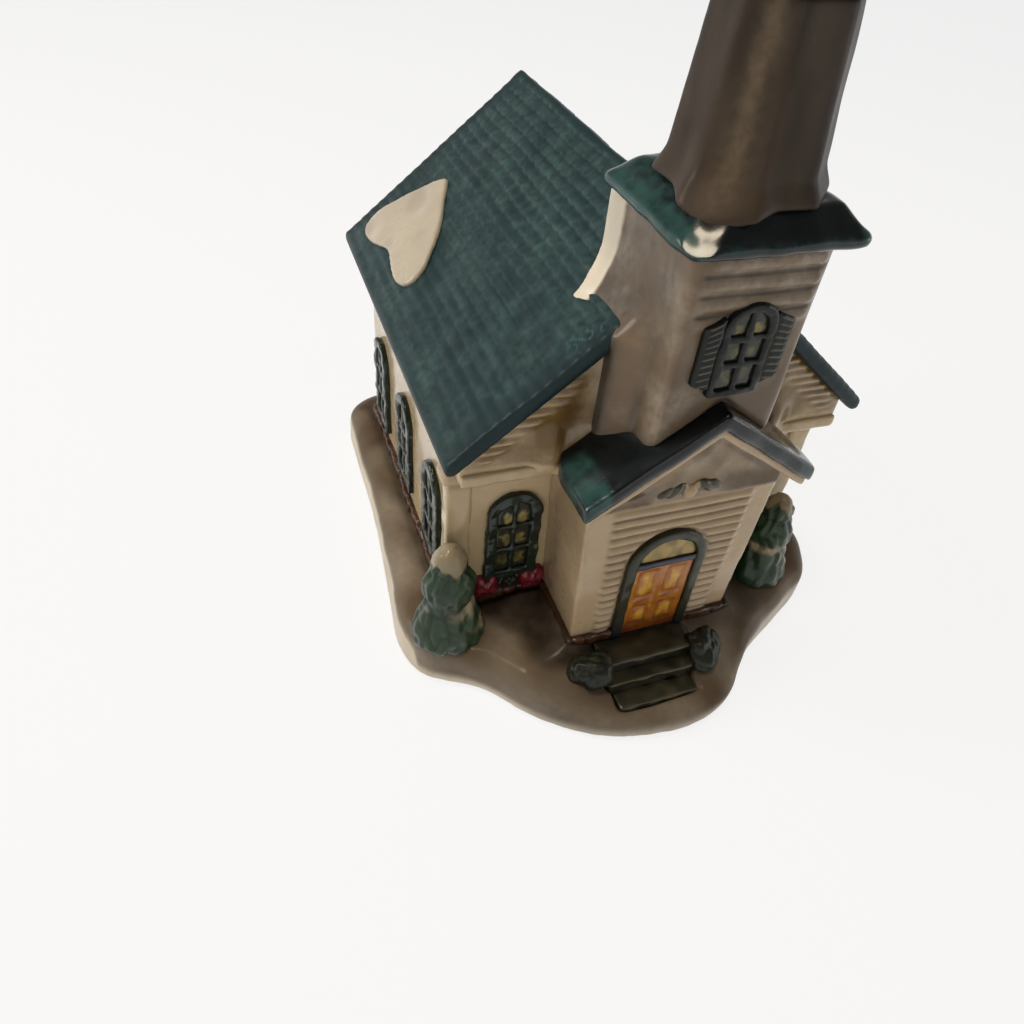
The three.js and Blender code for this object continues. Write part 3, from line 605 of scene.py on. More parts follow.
def gable_relief(places, facing):
    """Clapboards under the rakes, ochre partly as painted shade, painted brown shade beside the tower,
    and a front that swells to meet the tower.
    """
    x, y, z = places.T
    across = np.abs(x)
    under_roof = roof_high[2] - nave_fall * across - z
    boards_top = 90
    out, shade = boarding(z, boards_top, gable_board_pitch)
    face = step_up(np.abs(facing[:, 1]), 0.75, 0.95)
    gable = step_up(z, frieze_high[2] + 0.4, frieze_high[2] + 1.4)
    front = y < gable_front + 2
    # On the front, short boards show under the rake and fade out towards the tower
    short = band(under_roof, 2.2, 8.5, 1.0) * band(across, 18.5, 34, 1.5)
    boards = face * gable * np.where(front, short, band(across, -1, 33, 2))
    # The front gable swells over the back corners of the porch roof and into the foot of the tower
    swell = 2.6 * band(across, 19.5, 23.5, 3.2) * band(z, 47, 55, 3.5)
    over_porch = z - (porch_roof_high[2] - porch_fall * across)
    swell = np.maximum(swell, 1.6 * (across < 21) * (1 - step_up(over_porch, 0, 4.5)))
    swell = np.maximum(swell, tower_foot_on_gable(across, z) - 0.8 + 1.3 * step_up(across, 11.5, 14)
                       - 0.5 * step_up(across, 17, 24))
    # Ochre under the eaves is partly painted shade; the raised board tops keep the cream, as painted
    # highlight
    ochre = face * gable * np.where(front, band(across, 17, 35, 3.5), 0.5)
    ochre = ochre * (0.85 + 0.3 * waves(places, 6, 12))
    # Painted brown shade beside the foot of the tower
    brown = face * gable * front * band(across, 12, 20.5, 2.5) * (1 - 0.5 * step_up(z, 60, 70))
    brown = brown * (0.68 + 0.2 * waves(places, 5, 14))
    cream_top = step_up(out, 0.45, 0.75)
    # Brown soil and painted shade at the wall foot in the porch corners
    earth_top = ground + 3.4 + 0.8 * np.cos(across - 25)
    earth_and_shade = in_porch_corner(x, y) * front * (1 - step_up(z, earth_top, ground + 5.2))
    soffit = step_up(-facing[:, 2], 0.3, 0.7)
    rake_shade = face * gable * (1 - step_up(under_roof, 2.6, 4.4)) * 0.6
    # Painted shade under each board, on the undersides, under the rake and beside the tower
    hollow = boards * shade * 0.55 + soffit * 0.25 + earth_and_shade * 1.4 + rake_shade + brown
    move = facing * (board_relief * out * boards + 0.1 * waves(places, 15, 11))[:, None]
    move[:, 1] -= swell * front * face
    return move, hollow, ochre * (1 - boards * cream_top)


def trim_relief(places, facing):
    """An uneven moulding with painted shade in its dips, lighter along its rounded edges."""
    bumps = waves(places, 5, 13)
    edge = 1 - np.max(np.abs(facing), axis=1)
    return 0.12 * bumps, step_up(-bumps, 0.2, 1.4) * 0.35 - edge, 0


def pilaster_relief(places, facing):
    """A soft column with a knob at its head."""
    below_head = pilaster_high[2] - places[:, 2]
    knob = hump(below_head, 1.6, 1)
    neck = hump(below_head, 3.6, 0.9)
    # Painted shade in the neck under the knob
    return 0.5 * knob - 0.25 * neck + 0.12 * waves(places, 5, 13), neck * 0.5, 0


def make_nave():
    cast("nave_walls", cream_glaze, gable_relief, voxel=0.36, rounds=12)
    for side in ("left", "right"):
        cast(f"corner_pilaster_{side}", cream_glaze, pilaster_relief, voxel=0.25, rounds=26)
        cast(f"frieze_{side}", cream_glaze, trim_relief, voxel=0.22, rounds=26)


def porch_relief(places, facing):
    """Clapboards round the door on the front, and a gable set back under the roof's rake in painted shade.
    """
    x, y, z = places.T
    middle = (door_low[0] + door_high[0]) / 2
    door_half = (door_high[0] - door_low[0]) / 2
    top = swag_low[2] - 0.9
    out, shade = boarding(z, top, board_pitch)
    front = step_up(-facing[:, 1], 0.8, 0.95)
    # The boards reach further out towards their top
    half = 12.4 + 1.2 * (z - porch_low[2]) / (top - porch_low[2])
    spring = door_high[2] - door_half
    arch = np.where(z > spring, np.hypot(x - middle, z - spring), np.abs(x - middle))
    strength = front * step_up(half - np.abs(x), -0.6, 0.8) * (1 - step_up(z, top - 0.4, top + 0.2))
    strength = strength * step_up(arch, door_half + 0.2, door_half + 1.0)
    rake_depth = 4.6
    under_rake = porch_roof_high[2] - porch_fall * np.abs(x) - rake_depth - z
    recess = front * (y > porch_front - 1) * step_up(z, top, top + 1)
    # The lower corners of the recessed gable are painted olive as painted shadow
    corners = recess * step_up(np.abs(x), 5.5, 8) * (1 - step_up(z, top + 3, top + 6))
    mottled = recess * (0.36 + 0.14 * waves(places, 6, 22))
    rake_shade = recess * (1 - step_up(under_rake, 0.6, 3.0))
    # Brown soil and painted shade at the foot of the porch's sides, in the corners
    earth_and_shade = in_porch_corner(x, y) * step_up(np.abs(facing[:, 0]), 0.5, 0.9)
    earth_and_shade = earth_and_shade * (1 - step_up(z, ground + 2.4, ground + 4.2))
    foot = front * (1 - step_up(z, porch_low[2] + 0.3, porch_low[2] + 1.4))
    side = step_up(np.abs(facing[:, 0]), 0.7, 0.95) * (0.16 + 0.05 * waves(places, 12, 23))
    # Painted shade under each board and on its lower part, under the rake, at the foot, on the sides and in
    # the recessed gable
    hollow = strength * (shade + 0.26 * (1 - out)) + rake_shade * 0.9 + foot * 0.6
    hollow = hollow + side + mottled + earth_and_shade * 1.3
    hollow = hollow + recess * 0.3 + corners * 0.3 + 0.1 * (1 - strength)
    relief = board_relief * 1.45 * out * strength
    relief = relief + 0.25 * recess * waves(places, 6, 22) * step_up(under_rake, 0.5, 2)
    return relief + 0.08 * waves(places, 12, 21), hollow, corners * 0.9


def swag_relief(places, facing):
    """Veined leaves on both sides of a pale boss."""
    x, _, z = places.T
    boss = 1 - step_up(np.abs(x), 1.1, 1.7)
    veins = np.sin(np.abs(x) * 3.2 + (z - swag_low[2]) * 2.0)
    return 0.12 * veins * (1 - boss), step_up(-veins, 0, 1) * 0.6 * (1 - boss), boss


def make_porch():
    cast("porch_walls", porch_glaze, porch_relief, voxel=0.27, rounds=14)
    cast("pediment_swag", leaf_glaze, swag_relief, voxel=0.16, rounds=4)


# Tower, belfry and spire

def tower_spread(y, z):
    """How far the tower's sides spread towards the nave roof and the gable, and their back edges' lip."""
    down = np.clip(roof_high[2] - roof_round_below - z, 0, roof_round_height)
    over_roof = roof_round - np.sqrt(roof_round ** 2 - down ** 2)
    before_roof = np.maximum(roof_low[1] - y, 0)
    short_of = np.clip(gable_round - np.maximum(gable_front - y, 0), 0, gable_round)
    over_gable = gable_round - np.sqrt(gable_round ** 2 - short_of ** 2)
    over_roof = over_roof * (1 - step_up(before_roof, 0, 5))
    over_gable = over_gable * (1 - step_up(z, *gable_round_end))
    lip = tower_lip * step_up(y, cornice_high[1] - 5.5, cornice_high[1] - 1)
    lip = lip * (1 - 0.5 * step_up(down, 6, roof_round_height))
    return np.maximum(over_roof, over_gable) + lip


def net_between(shape, inner, outer):
    """Closes the space between two nets of points that have as many rows and columns."""
    last_row = len(inner) - 1
    last_column = len(inner[0]) - 1
    for i in range(last_row):
        for j in range(last_column):
            for net in (inner, outer):
                shape.faces.new((net[i][j], net[i][j + 1], net[i + 1][j + 1], net[i + 1][j]))
        for j in (0, -1):
            shape.faces.new((inner[i][j], outer[i][j], outer[i + 1][j], inner[i + 1][j]))
    for j in range(last_column):
        for i in (0, -1):
            shape.faces.new((inner[i][j], outer[i][j], outer[i][j + 1], inner[i][j + 1]))
    bmesh.ops.recalc_face_normals(shape, faces=shape.faces)


def tower_spreads():
    """Closed meshes that fill the hollow curve on both sides of the tower."""
    row_count = 70
    column_count = 46
    rows = np.linspace(porch_roof_high[2] - 12, tower_head, row_count)
    columns = np.linspace(tower_low[1] + 1.5, cornice_high[1] - 0.6, column_count)

    def net_of(shape, side, distance):
        """Rows of points at the distance from the tower's side that is given for each y and z."""
        return [[shape.verts.new((side * (tower_half + distance(y, z)) * mm, y * mm, z * mm))
                 for y in columns] for z in rows]

    meshes = []
    for side in (-1, 1):
        shape = bmesh.new()
        inner = net_of(shape, side, lambda y, z: -1.5)
        outer = net_of(shape, side, lambda y, z: tower_spread(y, z) - 0.05)
        net_between(shape, inner, outer)
        mesh = bpy.data.meshes.new("tower_spread")
        shape.to_mesh(mesh)
        shape.free()
        meshes.append(mesh)
    return meshes


def tower_relief(places, facing):
    """Boards on the head of the front, taupe paint with painted shade on the sides and under the window,
    and painted highlights on the back edges and the raised board tops.
    """
    x, y, z = places.T
    out, shade = boarding(z, tower_head, tower_board_pitch)
    front = step_up(-facing[:, 1], 0.8, 0.95)
    strength = front * step_up(tower_half - 1.4 - np.abs(x), -0.6, 0.8)
    strength = strength * step_up(z, tower_window_high[2] - 5, tower_window_high[2] - 2)
    side = step_up(np.abs(facing[:, 0]), 0.5, 0.9)
    # Painted shade on the sides, with a darker cloud of it near the roof
    cloud = band(y, -31, -19, 3) * band(z, 68, 80, 3)
    shaded = side * (0.4 + 0.2 * cloud + 0.1 * waves(places, 9, 32))
    shaded = shaded * (1 - step_up(facing[:, 1], 0.1, 0.3))
    # Dark glaze of the porch ridge runs up the tower front
    ridge = porch_roof_high[2] - porch_fall * np.abs(x)
    climbed = front * (1 - step_up(z - ridge, 0.2, 0.5 + 2.6 * hump(x, 0, 3)))
    # The sides' painted shade is deepest beside the gable and thin along the front edge, as a painted
    # highlight there
    by_gable = side * step_up(y, gable_front - 9, gable_front - 0.5) * (1 - step_up(z, 60, 78))
    front_edge = side * (1 - step_up(y, tower_low[1] + 1.5, tower_low[1] + 6)) * step_up(z, 58, 64)
    # Painted shade on the front below the window
    under = front * (1 - step_up(z, tower_window_low[2] + 1, tower_window_low[2] + 6)) * 0.15
    # The back is left pale as a painted highlight, round to the back edge of each side
    pale = step_up(y, cornice_high[1] - 4.6, cornice_high[1] - 3.8) * step_up(z, 60, 62)
    taupe_and_highlight = (0.92 + 0.1 * waves(places, 7, 30)) * (1 - pale)
    shaded = (shaded * (1 - 0.7 * front_edge) + 0.5 * by_gable) * (1 - pale)
    hollow = 0.14 * front + strength * shade * 0.75 + shaded + under + climbed
    # Lighter raised board tops as painted highlight
    taupe_and_highlight = taupe_and_highlight - 0.25 * strength * step_up(out, 0.6, 0.9)
    relief = board_relief * 1.4 * out * strength + 0.12 * waves(places, 14, 31)
    return relief, hollow, taupe_and_highlight


def cornice_relief(places, facing):
    """Near-black as painted dark reflection, with cloudy teal painted at the sides, the back and the lip
    as lighter reflection, and one worn hip.
    """
    x, y, z = places.T
    left = 1 - step_up(x, cornice_low[0] + 1.2, cornice_low[0] + 3.2)
    right = step_up(x, cornice_high[0] - 3, cornice_high[0] - 1)
    back = step_up(y, cornice_low[1] + 14, cornice_high[1])
    lip = band(z, cornice_low[2] + 0.8, cornice_low[2] + 1.8, 0.5) * 0.25
    cloudy = 0.8 + 0.3 * waves(places, 5, 33)
    inner = 0.4 * (x < 0) * step_up(y, cornice_low[1] + 5, cornice_low[1] + 12) * (1 + waves(places, 4, 45))
    # The teal is painted reflection, and the rest is darkened further as painted dark reflection
    teal = np.clip(np.maximum(np.maximum(left, right), np.maximum(back, inner)) * cloudy + lip, 0, 1)
    # The front left hip is worn to a broad flat
    centre = (cornice_low[1] + cornice_high[1]) / 2
    outward = -(x + y - centre) / math.sqrt(2)
    above = z - (cornice_high[2] - 1.3 - 0.68 * (outward - 14))
    worn = (above + np.sqrt(above ** 2 + 0.1)) / 2 * (outward > 10) * step_up(facing[:, 2], 0.1, 0.4)
    move = facing * (0.16 * waves(places, 6, 34))[:, None]
    move[:, 2] -= np.maximum(worn - 0.04, 0)
    return move, 0.4 * (1 - teal), teal


def make_tower():
    cast("tower_shell", tower_glaze, tower_relief, voxel=0.32, rounds=14, more=tower_spreads())
    cast("tower_cornice", dark_reflection_roof_glaze, cornice_relief, voxel=0.28, rounds=55)


def belfry_relief(places, facing):
    """Streaky taupe with a painted highlight down its front left edge and painted shade on its front
    right, and a foot that spreads from the octagon towards a square.
    """
    x, y, z = places.T
    centre = (belfry_low[1] + belfry_high[1]) / 2
    angle = np.arctan2(y - centre, x)
    off_flat = np.abs((angle / (math.pi / 2) + 0.5) % 1 - 0.5) * 2
    low_down = (1 - np.clip((z - belfry_low[2]) / 8, 0, 1)) ** 2
    spread = step_up(off_flat, 0.05, 1.0) * low_down * np.where((y < centre) & (x < 0), 0.3, 0.03)
    move = facing * (0.12 * waves(places, 12, 36))[:, None]
    move[:, 0] += x * spread
    move[:, 1] += (y - centre) * spread
    move[:, 2] -= 0.5 * np.hypot(x, y - centre) * spread
    # Painted highlight down the front left edge, painted shade on the front right
    lit = hump(angle, -2.35, 0.16) * 0.55
    dark = hump(angle, -1.0, 0.3) * 0.7
    streaks = 0.3 + 0.3 * waves(places * (1, 1, 0.25), 3.5, 35)
    return move, dark + streaks, lit * (1 - low_down)


def spire_relief(places, facing):
    """Rings of small shingles."""
    x, y, z = places.T
    row = (spire_high[2] - z) / spire_row
    part = fraction(row)
    angle = np.arctan2(y - (spire_low[1] + spire_high[1]) / 2, x)
    tile = fraction(angle / (2 * math.pi) * spire_tiles + 0.5 * (np.floor(row) % 2))
    joint = 1 - step_up(np.minimum(tile, 1 - tile), 0.04, 0.16)
    lap = part - step_up(part, 0.75, 1.0)
    slope = step_up(z, spire_low[2] + 0.8, spire_low[2] + 2)
    slope = slope * (1 - step_up(z, spire_high[2] - 4, spire_high[2] - 1))
    # Dark joints, painted shade under each row's edge, and a paler glaze on the raised edges as painted
    # highlight
    hollow = (joint * 0.5 + band(part, 0.9, 1, 0.08)) * 0.6 * slope
    paint = (0.25 * lap + 0.2 + 0.15 * waves(places, 2.2, 37)) * slope
    return shingle_relief * (lap - 0.45 * joint) * slope, hollow, paint


def make_belfry():
    cast("belfry", belfry_glaze, belfry_relief, voxel=0.32, rounds=22)
    cast("belfry_cornice", dark_reflection_roof_glaze, uneven, voxel=0.25, rounds=10, size=6, height=0.1, seed=38,
         stain=0.4)
    cast("spire", roof_glaze, spire_relief, voxel=0.3, rounds=6)
    cast("spire_finial", cream_glaze, uneven, voxel=0.15, rounds=4, size=3, height=0.05, seed=39,
         stain=0.4)


# Door and windows

def leaf_relief(places, facing):
    """Two columns of soft sunk panels, brushed yellow, with brown strokes between and a red foot."""
    x, _, z = places.T
    middle = (leaf_low[0] + leaf_high[0]) / 2
    across = np.abs(x - middle)
    height = (z - leaf_low[2]) / (leaf_high[2] - leaf_low[2])
    front = step_up(-facing[:, 1], 0.5, 0.9)
    panel = band(across, 0.9, 4.8, 0.4) * (band(height, 0.53, 0.94, 0.03) + band(height, 0.12, 0.42, 0.03))
    field = band(across, 1.6, 4.1, 0.5) * (band(height, 0.58, 0.9, 0.04) + band(height, 0.17, 0.37, 0.04))
    strokes_down = waves(places * (1, 1, 0.3), 1.5, 60)
    yellow = field * (0.55 + 0.35 * strokes_down)
    yellow = yellow + 0.3 * step_up(strokes_down, 0, 1.2) * step_up(height, 0.1, 0.5)
    strokes_across = waves(places * (0.6, 1, 1.8), 2.0, 63)
    marks = band(height, 0.38, 0.56, 0.05) * step_up(strokes_across, 0, 0.7)
    # Painted shade in the sunk edges of the panels
    groove = np.clip(panel - field, 0, 1) * 0.3
    foot = 1 - step_up(height, 0.0, 0.3)
    hollow = marks * 0.75 + groove + foot * 1.2
    return (0.2 * field - 0.2 * panel) * front, hollow, yellow


def door_frame_relief(places, facing):
    """Soft lumps, with painted shade off the front and in the dips, and navy towards the foot."""
    off_front = facing[:, 1] > -0.5
    lumps = waves(places, 4, 64)
    navy = 1 - step_up(places[:, 2], door_low[2] + 1, door_low[2] + 7)
    hollow = 0.6 * off_front + step_up(-lumps, 0, 1.2) * 0.4
    return 0.07 * lumps, hollow, navy * 0.6 + 0.2 * lumps


def make_door():
    cast("door_frame", frame_glaze, door_frame_relief, voxel=0.2, rounds=7)
    cast("door_leaf", amber_glaze, leaf_relief, voxel=0.13, rounds=3)
    cast("transom_bar", navy_glaze, uneven, voxel=0.15, rounds=5, size=3, height=0.05, seed=65,
         stain=0.5)
    cast("fanlight", fanlight_glaze, uneven, voxel=0.14, rounds=4, size=2.5, height=0.05, seed=66,
         stain=0.8)


def frame_relief(places, facing, seed, snow):
    """Lumpy greenery round a window, with more dabs of pale glaze the higher snow is."""
    lumps = waves(places, 3.2, seed)
    small = waves(places, 1.3, seed + 1)
    dabs = step_up(waves(places, 4.5, seed + 2) * 0.7 + small * 0.3, 0.9 - snow, 1.5 - snow)
    # Painted shade in the dips between the lumps
    hollow = step_up(-lumps - small * 0.5, -0.1, 1.3) * 0.7
    return 0.16 * lumps + 0.04 * small, hollow, dabs


def pane_relief(places, facing, low, high, along, seed, bright):
    """Six painted panes, none quite like the next, on dark glass."""
    rng = np.random.default_rng(seed)
    middle = (low[along] + high[along]) / 2
    wide = high[along] - low[along]
    tall = high[2] - low[2]
    wobble = 0.35 * waves(places, 1.6, seed + 7)
    lit = np.zeros(len(places))
    for row in range(3):
        for side in (-1, 1):
            height = low[2] + (row + 0.5 - 0.1 * row) / 3 * tall
            strength = bright * (0.25 + 0.38 * row) * rng.uniform(0.6, 1.1)
            across = middle + side * (0.22 + rng.uniform(-0.03, 0.03)) * wide
            size = rng.uniform(0.7, 1.05)
            distance = np.hypot((places[:, along] - across) / (0.2 * wide * size),
                                (places[:, 2] - height) / (0.1 * tall * size)) + wobble
            lit = np.maximum(lit, strength * (1 - step_up(distance, 0.6, 1.3)))
    return 0.1 * lit, 0.3 * (1 - lit), lit


def make_window(name, seed, along, snow, glaze, bright, voxel=0.2):
    """A frame and its panes; along is the axis, 0 or 1, that the wall runs along."""
    low, high = extent(f"{name}_glazing")
    cast(f"{name}_frame", glaze, frame_relief, voxel, rounds=7, seed=seed, snow=snow)
    cast(f"{name}_glazing", pane_glaze, pane_relief, voxel, rounds=4, low=low, high=high, along=along,
         seed=seed, bright=bright)


def shutter_relief(places, facing):
    """Slats with pale lower edges as painted highlight and painted shade under each, under a head that
    slopes down and outwards from the arch.
    """
    x, _, z = places.T
    front = step_up(-facing[:, 1], 0.4, 0.8)
    slat = fraction(z / louvre_pitch + 0.12 * np.abs(x))
    inner_edge = 4.15
    outer_edge = 7.1
    margin = np.minimum(np.abs(x) - inner_edge, outer_edge - np.abs(x))
    inside = step_up(margin, 0.3, 0.7) * front
    move = facing * (0.32 * (1 - slat) * step_up(slat, 0, 0.2) * inside)[:, None]
    middle = (tower_window_low[2] + tower_window_high[2]) / 2
    outward = np.clip((np.abs(x) - 4.1) / 3, 0, 1)
    move[:, 2] -= np.maximum(z - middle, 0) * (0.06 + 0.16 * outward)
    lit = inside * band(slat, 0.1, 0.35, 0.12) * 0.75
    return move, inside * band(slat, 0.75, 1, 0.1), lit


def bow_relief(places, facing):
    """Swells the bow to a round bunch with folds."""
    centre = (places.max(axis=0) + places.min(axis=0)) / 2
    offset = places - centre
    around = np.arctan2(offset[:, 2], offset[:, 0])
    folds = np.cos(around * 5 + centre[0])
    move = np.zeros_like(places)
    move[:, 2] = offset[:, 2] * 0.7
    move[:, 0] = offset[:, 0] * 0.12
    move[:, 1] = -0.9 * step_up(-facing[:, 1], 0.1, 0.6)
    move += facing * (0.1 * folds)[:, None]
    # Painted shade in the folds and painted highlight on their crests
    return move, step_up(-folds, 0, 1) * 0.6, step_up(folds, 0.6, 1) * 0.35


def garland_relief(places, facing):
    lumps = waves(places, 1.6, 67)
    # Painted highlight on the crests of the lumps and painted shade in their dips
    lit = step_up(lumps, 1.2, 1.8) * 0.4
    return 0.3 * lumps + 0.15, step_up(-lumps, -0.2, 1) * 0.8, lit


def make_windows():
    for number, side in enumerate(("left", "right")):
        make_window(f"front_window_{side}", seed=70 + number * 3, along=0, snow=-0.3,
                    glaze=wreath_glaze, bright=1.0)
        cast(f"garland_{side}", hedge_glaze, garland_relief, voxel=0.14, rounds=3)
        for place in ("outer", "inner"):
            cast(f"{place}_bow_{side}", red_glaze, bow_relief, voxel=0.15, rounds=6)
        for row in (1, 2, 3):
            make_window(f"{side}_window_{row}", seed=80 + number * 10 + row * 3, along=1, snow=0.35,
                        glaze=wreath_glaze, bright=0.6)
        cast(f"tower_shutter_{side}", shutter_glaze, shutter_relief, voxel=0.14, rounds=3)
    make_window("tower_window", seed=110, along=0, snow=-0.6, glaze=shutter_glaze, bright=0.42,
                voxel=0.16)


# Snow, steps and planting

def outside_of(places, low, high):
    """Distance on the ground from a rectangle, 0 inside it."""
    beyond_x = np.maximum(np.maximum(low[0] - places[:, 0], places[:, 0] - high[0]), 0)
    beyond_y = np.maximum(np.maximum(low[1] - places[:, 1], places[:, 1] - high[1]), 0)
    return np.hypot(beyond_x, beyond_y)


def ground_relief(places, facing):
    """Rolling snow painted taupe as shade on its top inside a pale rim, with brown soil and painted shade
    heaped in the front corners.
    """
    x, y, z = places.T
    porch_half = 17.8
    nave = outside_of(places, (foundation_low[0], nave_low[1] + 3), foundation_high)
    porch = outside_of(places, (-porch_half, foundation_low[1]), (porch_half, 0))
    distance = np.minimum(nave, porch)
    top = step_up(facing[:, 2], 0.6, 0.97)
    corner = hump(np.abs(x), 22, 8) * hump(y, porch_front + 5, 11)
    reach = 1.2 + 12 * corner * (1 + 0.2 * waves(places, 6, 91))
    earth_and_shade = top * (1 - step_up(distance, reach * 0.35, reach + 1.2)) * (0.45 + 0.45 * step_up(-y, 12, 24))
    # It is thinner on the right, and painted shade darkens the front of the snow
    earth_and_shade = earth_and_shade * np.where(x < 0, 1.0, 0.5) + 0.36 * step_up(-y, 38, 50)
    # Painted shade on the snow beside the side walls
    beside = top * band(np.abs(x), 38, 41.5, 1.2) * 0.3 * (0.6 + 0.5 * waves(places, 6, 92))
    heap = 3.4 * np.exp(-distance / 3.2) * (distance > 0) * corner * top
    drift = waves(places, 19, 93) * 0.3 + waves(places, 7, 94) * 0.1
    sideways = step_up(np.where(x < 0, 0.9, 1.15) * np.abs(facing[:, 0]), 0.72, 0.9)
    wash_end = 1.5 + 6.5 * sideways
    # The right rim is left clear of the painted shade up to the top of its roll, and the snow round the
    # steps is shaded
    right_rim = step_up(x, 8, 24) * (1 - step_up(z, 4.5, 7.5))
    shade = np.maximum(top, step_up(z, wash_end, wash_end + 2.5) * (1 - 0.5 * sideways)) * (1 - right_rim)
    shade = np.maximum(shade, 1 - step_up(outside_of(places, step_low, step_high), 1, 3))
    shade = shade * (0.9 + 0.15 * waves(places, 13, 95))
    out = np.where(z > 1.5, drift * step_up(z, 1.5, 5), 0)
    move = facing * out[:, None]
    move[:, 2] += heap
    # The underside stays flat on the table
    move[:, 2] = np.where(z < 0.6, np.maximum(-z, 0), move[:, 2])
    return move, np.clip(earth_and_shade + beside, 0, 1), shade


def stone_relief(places, facing):
    """A course of rough stones, buried beside the porch."""
    x, y, _ = places.T
    along = np.where(np.abs(facing[:, 0]) > np.abs(facing[:, 1]), y, x)
    stone = along / stone_length + 0.25 * np.sin(along * 0.8)
    part = fraction(stone)
    buried = in_porch_corner(x, y)
    joint = (1 - step_up(np.minimum(part, 1 - part), 0.03, 0.13)) * (1 - buried)
    tone = pseudo_random(np.floor(stone)) * (1 - buried)
    lumps = waves(places, 2.6, 96)
    # Dark joints, painted shade in the dips, and soil with painted shade where the stones are buried in the
    # porch corners
    hollow = joint * 0.8 + step_up(-lumps, 0.3, 1.4) * 0.3 + buried * 0.6
    return 0.2 * lumps * (1 - buried) - 0.3 * joint, hollow, tone * 0.6


def step_relief(places, facing):
    # Lighter nosings as painted highlight, and painted shade in the dips
    nosing = band(facing[:, 2], 0.3, 0.88, 0.12) * (facing[:, 1] < 0.1)
    lumps = waves(places, 3.2, 97)
    return 0.16 * lumps, step_up(-lumps, 0, 1.4) * 0.5, nosing * 0.8 + 0.2 * lumps


def make_ground():
    cast("snow_base", snow_glaze, ground_relief, voxel=0.55, rounds=45)
    cast("foundation", brown_glaze, stone_relief, voxel=0.3, rounds=5)
    for name in ("landing", "middle_step", "lowest_step"):
        cast(name, slate_glaze, step_relief, voxel=0.25, rounds=9)


def tree_relief(places, facing, low, high, seed, cap_foot, belt):
    """Drooping tufts in two tiers under a round cap of snow, with snow caught on the lower tier."""
    middle = (low + high) / 2
    x, y, z = places.T
    height = (z - low[2]) / (high[2] - low[2])
    angle = np.arctan2(y - middle[1], x - middle[0])
    drip = 0.05 * np.cos(angle * 3 + 1) + 0.02 * np.cos(angle * 7)
    cap = step_up(height, cap_foot + drip, cap_foot + 0.04 + drip)
    tufts = np.abs(waves(places * (1, 1, 0.5), 3.4, seed)) - 0.4
    fringe = np.cos(angle * 9 + 2 * waves(places, 5, seed + 1))
    green = 1 - cap
    out = green * (0.28 * tufts + 0.16 * fringe) + cap * 0.3 * waves(places, 5, seed + 2)
    patch = step_up(waves(places * (1, 1, 2), 5, seed + 4), -0.3, 0.1)
    ledge = band(height, 0.36, 0.5, 0.04) * hump(angle, -0.6, 0.9) * patch
    lower = band(height, 0.16, 0.24, 0.03) * hump(angle, -0.2, 0.5)
    fleck = band(height, 0.3, 0.55, 0.08) * step_up(waves(places, 3, seed + 3), 0.8, 1.4) * 0.4
    ring = belt * band(height, 0.4, 0.5, 0.03) * (0.8 + 0.3 * waves(places, 3, seed + 6))
    snow = np.clip(cap + ledge + lower + fleck + ring, 0, 1)
    # Painted shade in the dips between the tufts and over the green, and patchy painted shade on the cap
    shade = green * (step_up(-tufts, 0, 0.4) * 0.6 + 0.25) * (1 - snow)
    return out, shade + cap * 0.3 * (1 + 0.5 * waves(places, 4, seed + 5)), snow


def hedge_relief(places, facing, foot, seed, side):
    """A low bush that leans on the steps, on their left for side -1 and their right for side 1."""
    z = places[:, 2]
    lumps = np.abs(waves(places, 3.4, seed)) - 0.4
    # Lighter dabs on the upward faces as painted highlight, and painted shade in the dips
    dabs = step_up(facing[:, 2], 0.4, 0.95) * step_up(waves(places, 2.6, seed + 1), 0.2, 1.2)
    move = facing * (0.35 * lumps + 0.1 * waves(places, 1.5, seed + 2))[:, None]
    move[:, 0] -= side * 1.2
    if side > 0:
        # The right one hangs down beside the steps
        move[:, 1] += 1.0 - 2.6 * step_up(-z, -foot - 5, -foot)
    return move, step_up(-lumps, -0.1, 0.4), dabs * 0.7


def make_planting():
    for number, side in enumerate(("left", "right")):
        low, high = extent(f"tree_{side}")
        cap_foot, belt = (0.81, 0.0) if side == "left" else (0.9, 1.0)
        cast(f"tree_{side}", foliage_glaze, tree_relief, voxel=0.26, rounds=4, low=low, high=high,
             seed=120 + number * 10, cap_foot=cap_foot, belt=belt)
        low, high = extent(f"hedge_{side}")
        cast(f"hedge_{side}", hedge_glaze, hedge_relief, voxel=0.24, rounds=5, foot=low[2],
             seed=140 + number * 5, side=number * 2 - 1)


# Floor, lamps and surroundings

floor_half = 3.0  # half the floor's width, in metres
floor_colour = (0.86, 0.86, 0.86, 1)
floor_glow = 0.82  # share of plain white in the floor, as the camera and reflections see it
white = (1, 1, 1, 1)
lamp_aim_height = 0.06


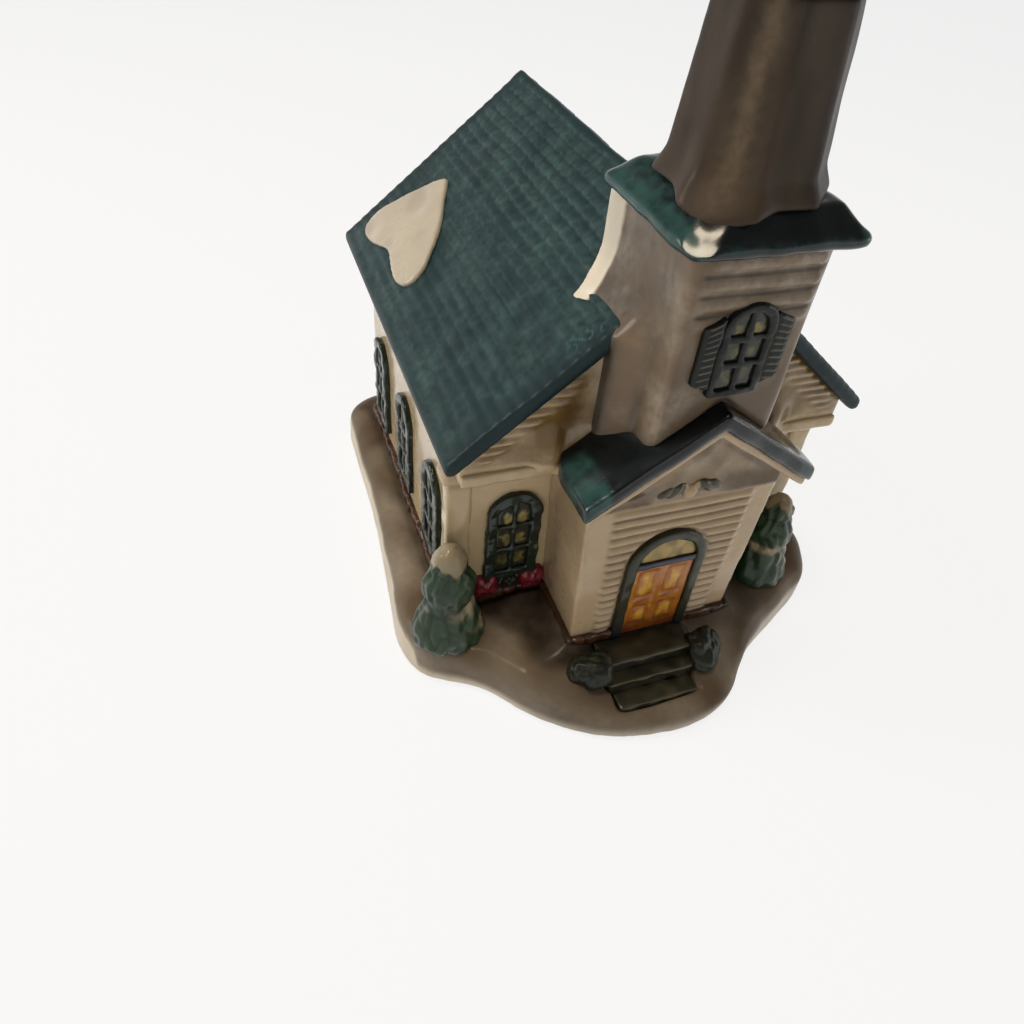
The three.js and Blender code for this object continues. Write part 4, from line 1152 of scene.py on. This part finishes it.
def make_floor():
    mesh = bpy.data.meshes.new("floor")
    shape = bmesh.new()
    bmesh.ops.create_grid(shape, x_segments=1, y_segments=1, size=floor_half)
    shape.to_mesh(mesh)
    shape.free()
    floor = added("floor", mesh)
    material = bpy.data.materials.new("pale_floor")
    tree, output = emptied(material, "OutputMaterial")
    matt = new_node(tree, "BsdfDiffuse", Color=floor_colour)
    glow = new_node(tree, "Emission", Color=white)
    rays = new_node(tree, "LightPath")
    seen = calculate(tree, "MAXIMUM", rays.outputs["Is Camera Ray"], rays.outputs["Is Glossy Ray"])
    blend = new_node(tree, "MixShader", Fac=calculate(tree, "MULTIPLY", seen, floor_glow))
    plug(tree, blend.inputs[1], matt.outputs["BSDF"])
    plug(tree, blend.inputs[2], glow.outputs["Emission"])
    fill(tree, output, Surface=blend.outputs["Shader"])
    mesh.materials.append(material)


def make_world():
    """Pale walls up to a little above the table, and a dim ceiling."""
    world = bpy.data.worlds.new("studio")
    bpy.context.scene.world = world
    tree, output = emptied(world, "OutputWorld")
    direction = new_node(tree, "TexCoord").outputs["Generated"]
    upward = new_node(tree, "SeparateXYZ", Vector=direction).outputs["Z"]
    rays = new_node(tree, "LightPath")
    height = stretch(tree, upward, 0.1, 0.5, out_low=0.55, out_high=0.12)
    wall = stretch(tree, upward, 0.12, 0.3, out_low=1.0, out_high=0.0)
    reflected = calculate(tree, "MULTIPLY", rays.outputs["Is Glossy Ray"], wall)
    seen = calculate(tree, "MAXIMUM", rays.outputs["Is Camera Ray"], reflected)
    strength = calculate(tree, "MAXIMUM", height, seen)
    background = new_node(tree, "Background", Color=white, Strength=strength)
    fill(tree, output, Surface=background.outputs["Background"])


def soft_box(name, place, size, power, colour):
    """A soft lamp that looks at the middle of the object; its place and size are in metres."""
    data = bpy.data.lights.new(name, "AREA")
    data.shape = "RECTANGLE"
    data.size, data.size_y = size
    data.energy = power
    data.color = colour
    lamp = added(name, data)
    lamp.location = place
    aim = Vector((0, 0, lamp_aim_height)) - lamp.location
    lamp.rotation_mode = "QUATERNION"
    lamp.rotation_quaternion = aim.to_track_quat("-Z", "Y")


def make_studio():
    make_floor()
    make_world()
    soft_box("key", (-0.62, 0.25, 0.45), size=(0.3, 0.3), power=2.4, colour=(1.0, 0.96, 0.9))
    soft_box("fill", (-0.25, -0.8, 0.35), size=(0.5, 0.4), power=0.66, colour=(1.0, 0.95, 0.88))
    soft_box("ceiling_lamp", (-0.1, -0.02, 0.6), size=(0.13, 0.13), power=1.4, colour=(1.0, 0.86, 0.66))
    soft_box("right_fill", (0.7, -0.35, 0.2), size=(0.3, 0.3), power=0.55, colour=(1.0, 0.96, 0.9))


make_camera()
make_roofs()
make_nave()
make_porch()
make_tower()
make_belfry()
make_door()
make_windows()
make_ground()
make_planting()
make_studio()
bpy.context.scene.view_settings.view_transform = "Standard"
